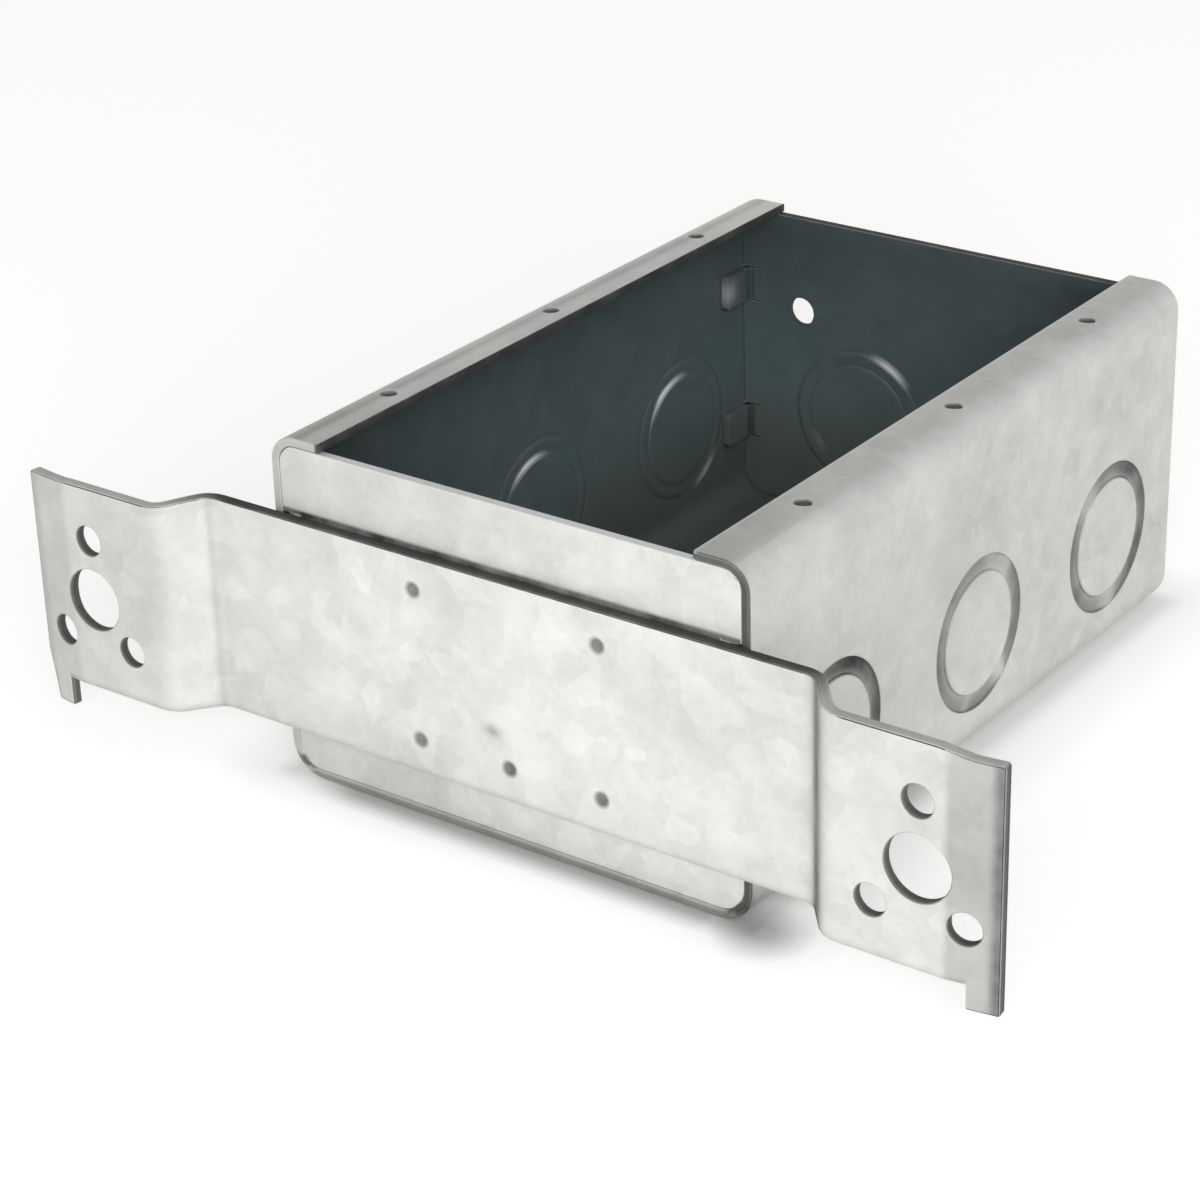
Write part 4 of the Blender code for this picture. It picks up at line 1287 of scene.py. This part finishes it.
def make_floor(looks, box, reach=6.0):
    """A flat grid of floor: both parameters run from minus to plus its reach."""
    line = np.linspace(-reach, reach, 13)
    x, y = np.meshgrid(line, line, indexing="ij")
    points = np.stack([x.ravel(), y.ravel(), np.full(x.size, -0.0001)], 1)
    ids = np.arange(x.size).reshape(x.shape)
    quads = np.stack([ids[:-1, :-1], ids[1:, :-1], ids[1:, 1:], ids[:-1, 1:]], -1).reshape(-1, 4)
    mesh = bpy.data.meshes.new("studio_floor")
    mesh.from_pydata(points.tolist(), [], quads.tolist())
    mesh.materials.append(floor_finish(looks, box))
    floor = bpy.data.objects.new("studio_floor", mesh)
    bpy.context.scene.collection.objects.link(floor)


def make_world(horizon=0.92, zenith=0.36):
    """Soft white light that falls off from the horizon to the zenith."""
    world = bpy.data.worlds.new("studio_world")
    bpy.context.scene.world = world
    graph = Graph(world)
    ray = graph.node("ShaderNodeTexCoord")["Generated"]
    up = graph.split(ray)["Z"]
    tone = horizon + (zenith - horizon) * up.limited(0.0, 1.0)
    light = graph.node("ShaderNodeBackground", {}, {"Color": graph.grey(tone), "Strength": 1.0})
    graph.node("ShaderNodeOutputWorld", {}, {"Surface": light["Background"]})


def make_lamp(name, place, target, size, power):
    """A square area lamp, turned so that its back points away from its target."""
    data = bpy.data.lights.new(name, "AREA")
    data.size = size
    data.energy = power
    lamp = bpy.data.objects.new(name, data)
    bpy.context.scene.collection.objects.link(lamp)
    away = np.array(place, float) - np.array(target, float)
    lamp.location = place
    lamp.rotation_euler = Vector(away).to_track_quat("Z", "Y").to_euler()


def make_camera():
    """Camera at the place and turn that fit the photograph's view."""
    turn, rise, roll = (math.radians(degrees) for degrees in CAMERA_ANGLES)
    ahead = np.array([-math.sin(turn) * math.cos(rise), math.cos(turn) * math.cos(rise), -math.sin(rise)])
    right = np.array([math.cos(turn), math.sin(turn), 0.0])
    up = np.cross(right, ahead)
    side = math.cos(roll) * right + math.sin(roll) * up
    top = -math.sin(roll) * right + math.cos(roll) * up
    matrix = Matrix.Identity(4)
    for column, axis in enumerate((side, top, -ahead, CAMERA_PLACE)):
        for row in range(3):
            matrix[row][column] = axis[row]
    data = bpy.data.cameras.new("studio_camera")
    data.sensor_width = 36.0
    data.lens = CAMERA_LENS
    data.clip_start = 0.01
    camera = bpy.data.objects.new("studio_camera", data)
    camera.matrix_world = matrix
    bpy.context.scene.collection.objects.link(camera)
    bpy.context.scene.camera = camera


# Operators


class WIRING_OT_body(bpy.types.Operator):
    """Make the folded body"""

    bl_idname = "wiring_box.make_body"
    bl_label = "Folded body"

    def execute(self, context):
        scene = context.scene
        make_body(scene.wiring_box, scene.wiring_looks)
        return {"FINISHED"}


class WIRING_OT_plates(bpy.types.Operator):
    """Make both end plates"""

    bl_idname = "wiring_box.make_plates"
    bl_label = "End plates"

    def execute(self, context):
        scene = context.scene
        sizes = (scene.wiring_box, scene.wiring_bracket, scene.wiring_looks)
        make_end_plate(*sizes, "near_plate", "near_end_plate", -1, False)
        make_end_plate(*sizes, "far_plate", "far_end_plate", 1, True)
        return {"FINISHED"}


class WIRING_OT_bracket(bpy.types.Operator):
    """Make the stud bracket"""

    bl_idname = "wiring_box.make_bracket"
    bl_label = "Stud bracket"

    def execute(self, context):
        scene = context.scene
        make_bracket(scene.wiring_box, scene.wiring_bracket, scene.wiring_looks)
        return {"FINISHED"}


class WIRING_OT_stage(bpy.types.Operator):
    """Make the floor, the lights and the camera"""

    bl_idname = "wiring_box.make_stage"
    bl_label = "Stage"

    def execute(self, context):
        context.scene.view_settings.view_transform = "Standard"
        make_floor(context.scene.wiring_looks, context.scene.wiring_box)
        make_world()
        make_lamp("key_lamp", place=(1.0, -1.25, 0.52), target=(0, 0, 0.03), size=1.0, power=16.0)
        make_camera()
        return {"FINISHED"}


class WIRING_PT_panel(bpy.types.Panel):
    """Steps and values of the wiring box"""

    bl_idname = "WIRING_PT_panel"
    bl_label = "Wiring Box"
    bl_space_type = "VIEW_3D"
    bl_region_type = "UI"
    bl_category = "Wiring Box"

    def draw(self, context):
        for step in STEPS:
            self.layout.operator(step.bl_idname)
        for group in GROUPS:
            owner = getattr(context.scene, group)
            for key in owner.bl_rna.properties.keys():
                if key not in ("rna_type", "name"):
                    self.layout.prop(owner, key)


STEPS = (WIRING_OT_body, WIRING_OT_plates, WIRING_OT_bracket, WIRING_OT_stage)
GROUPS = {"wiring_box": BoxSizes, "wiring_bracket": BracketSizes, "wiring_looks": Finishes}


def register():
    for kind in (*GROUPS.values(), *STEPS, WIRING_PT_panel):
        bpy.utils.register_class(kind)
    for key, kind in GROUPS.items():
        setattr(bpy.types.Scene, key, PointerProperty(type=kind))


def unregister():
    for key in GROUPS:
        delattr(bpy.types.Scene, key)
    for kind in (WIRING_PT_panel, *STEPS, *GROUPS.values()):
        bpy.utils.unregister_class(kind)


def main():
    """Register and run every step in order."""
    register()
    bpy.ops.wiring_box.make_body()
    bpy.ops.wiring_box.make_plates()
    bpy.ops.wiring_box.make_bracket()
    bpy.ops.wiring_box.make_stage()


if __name__ == "__main__":
    main()
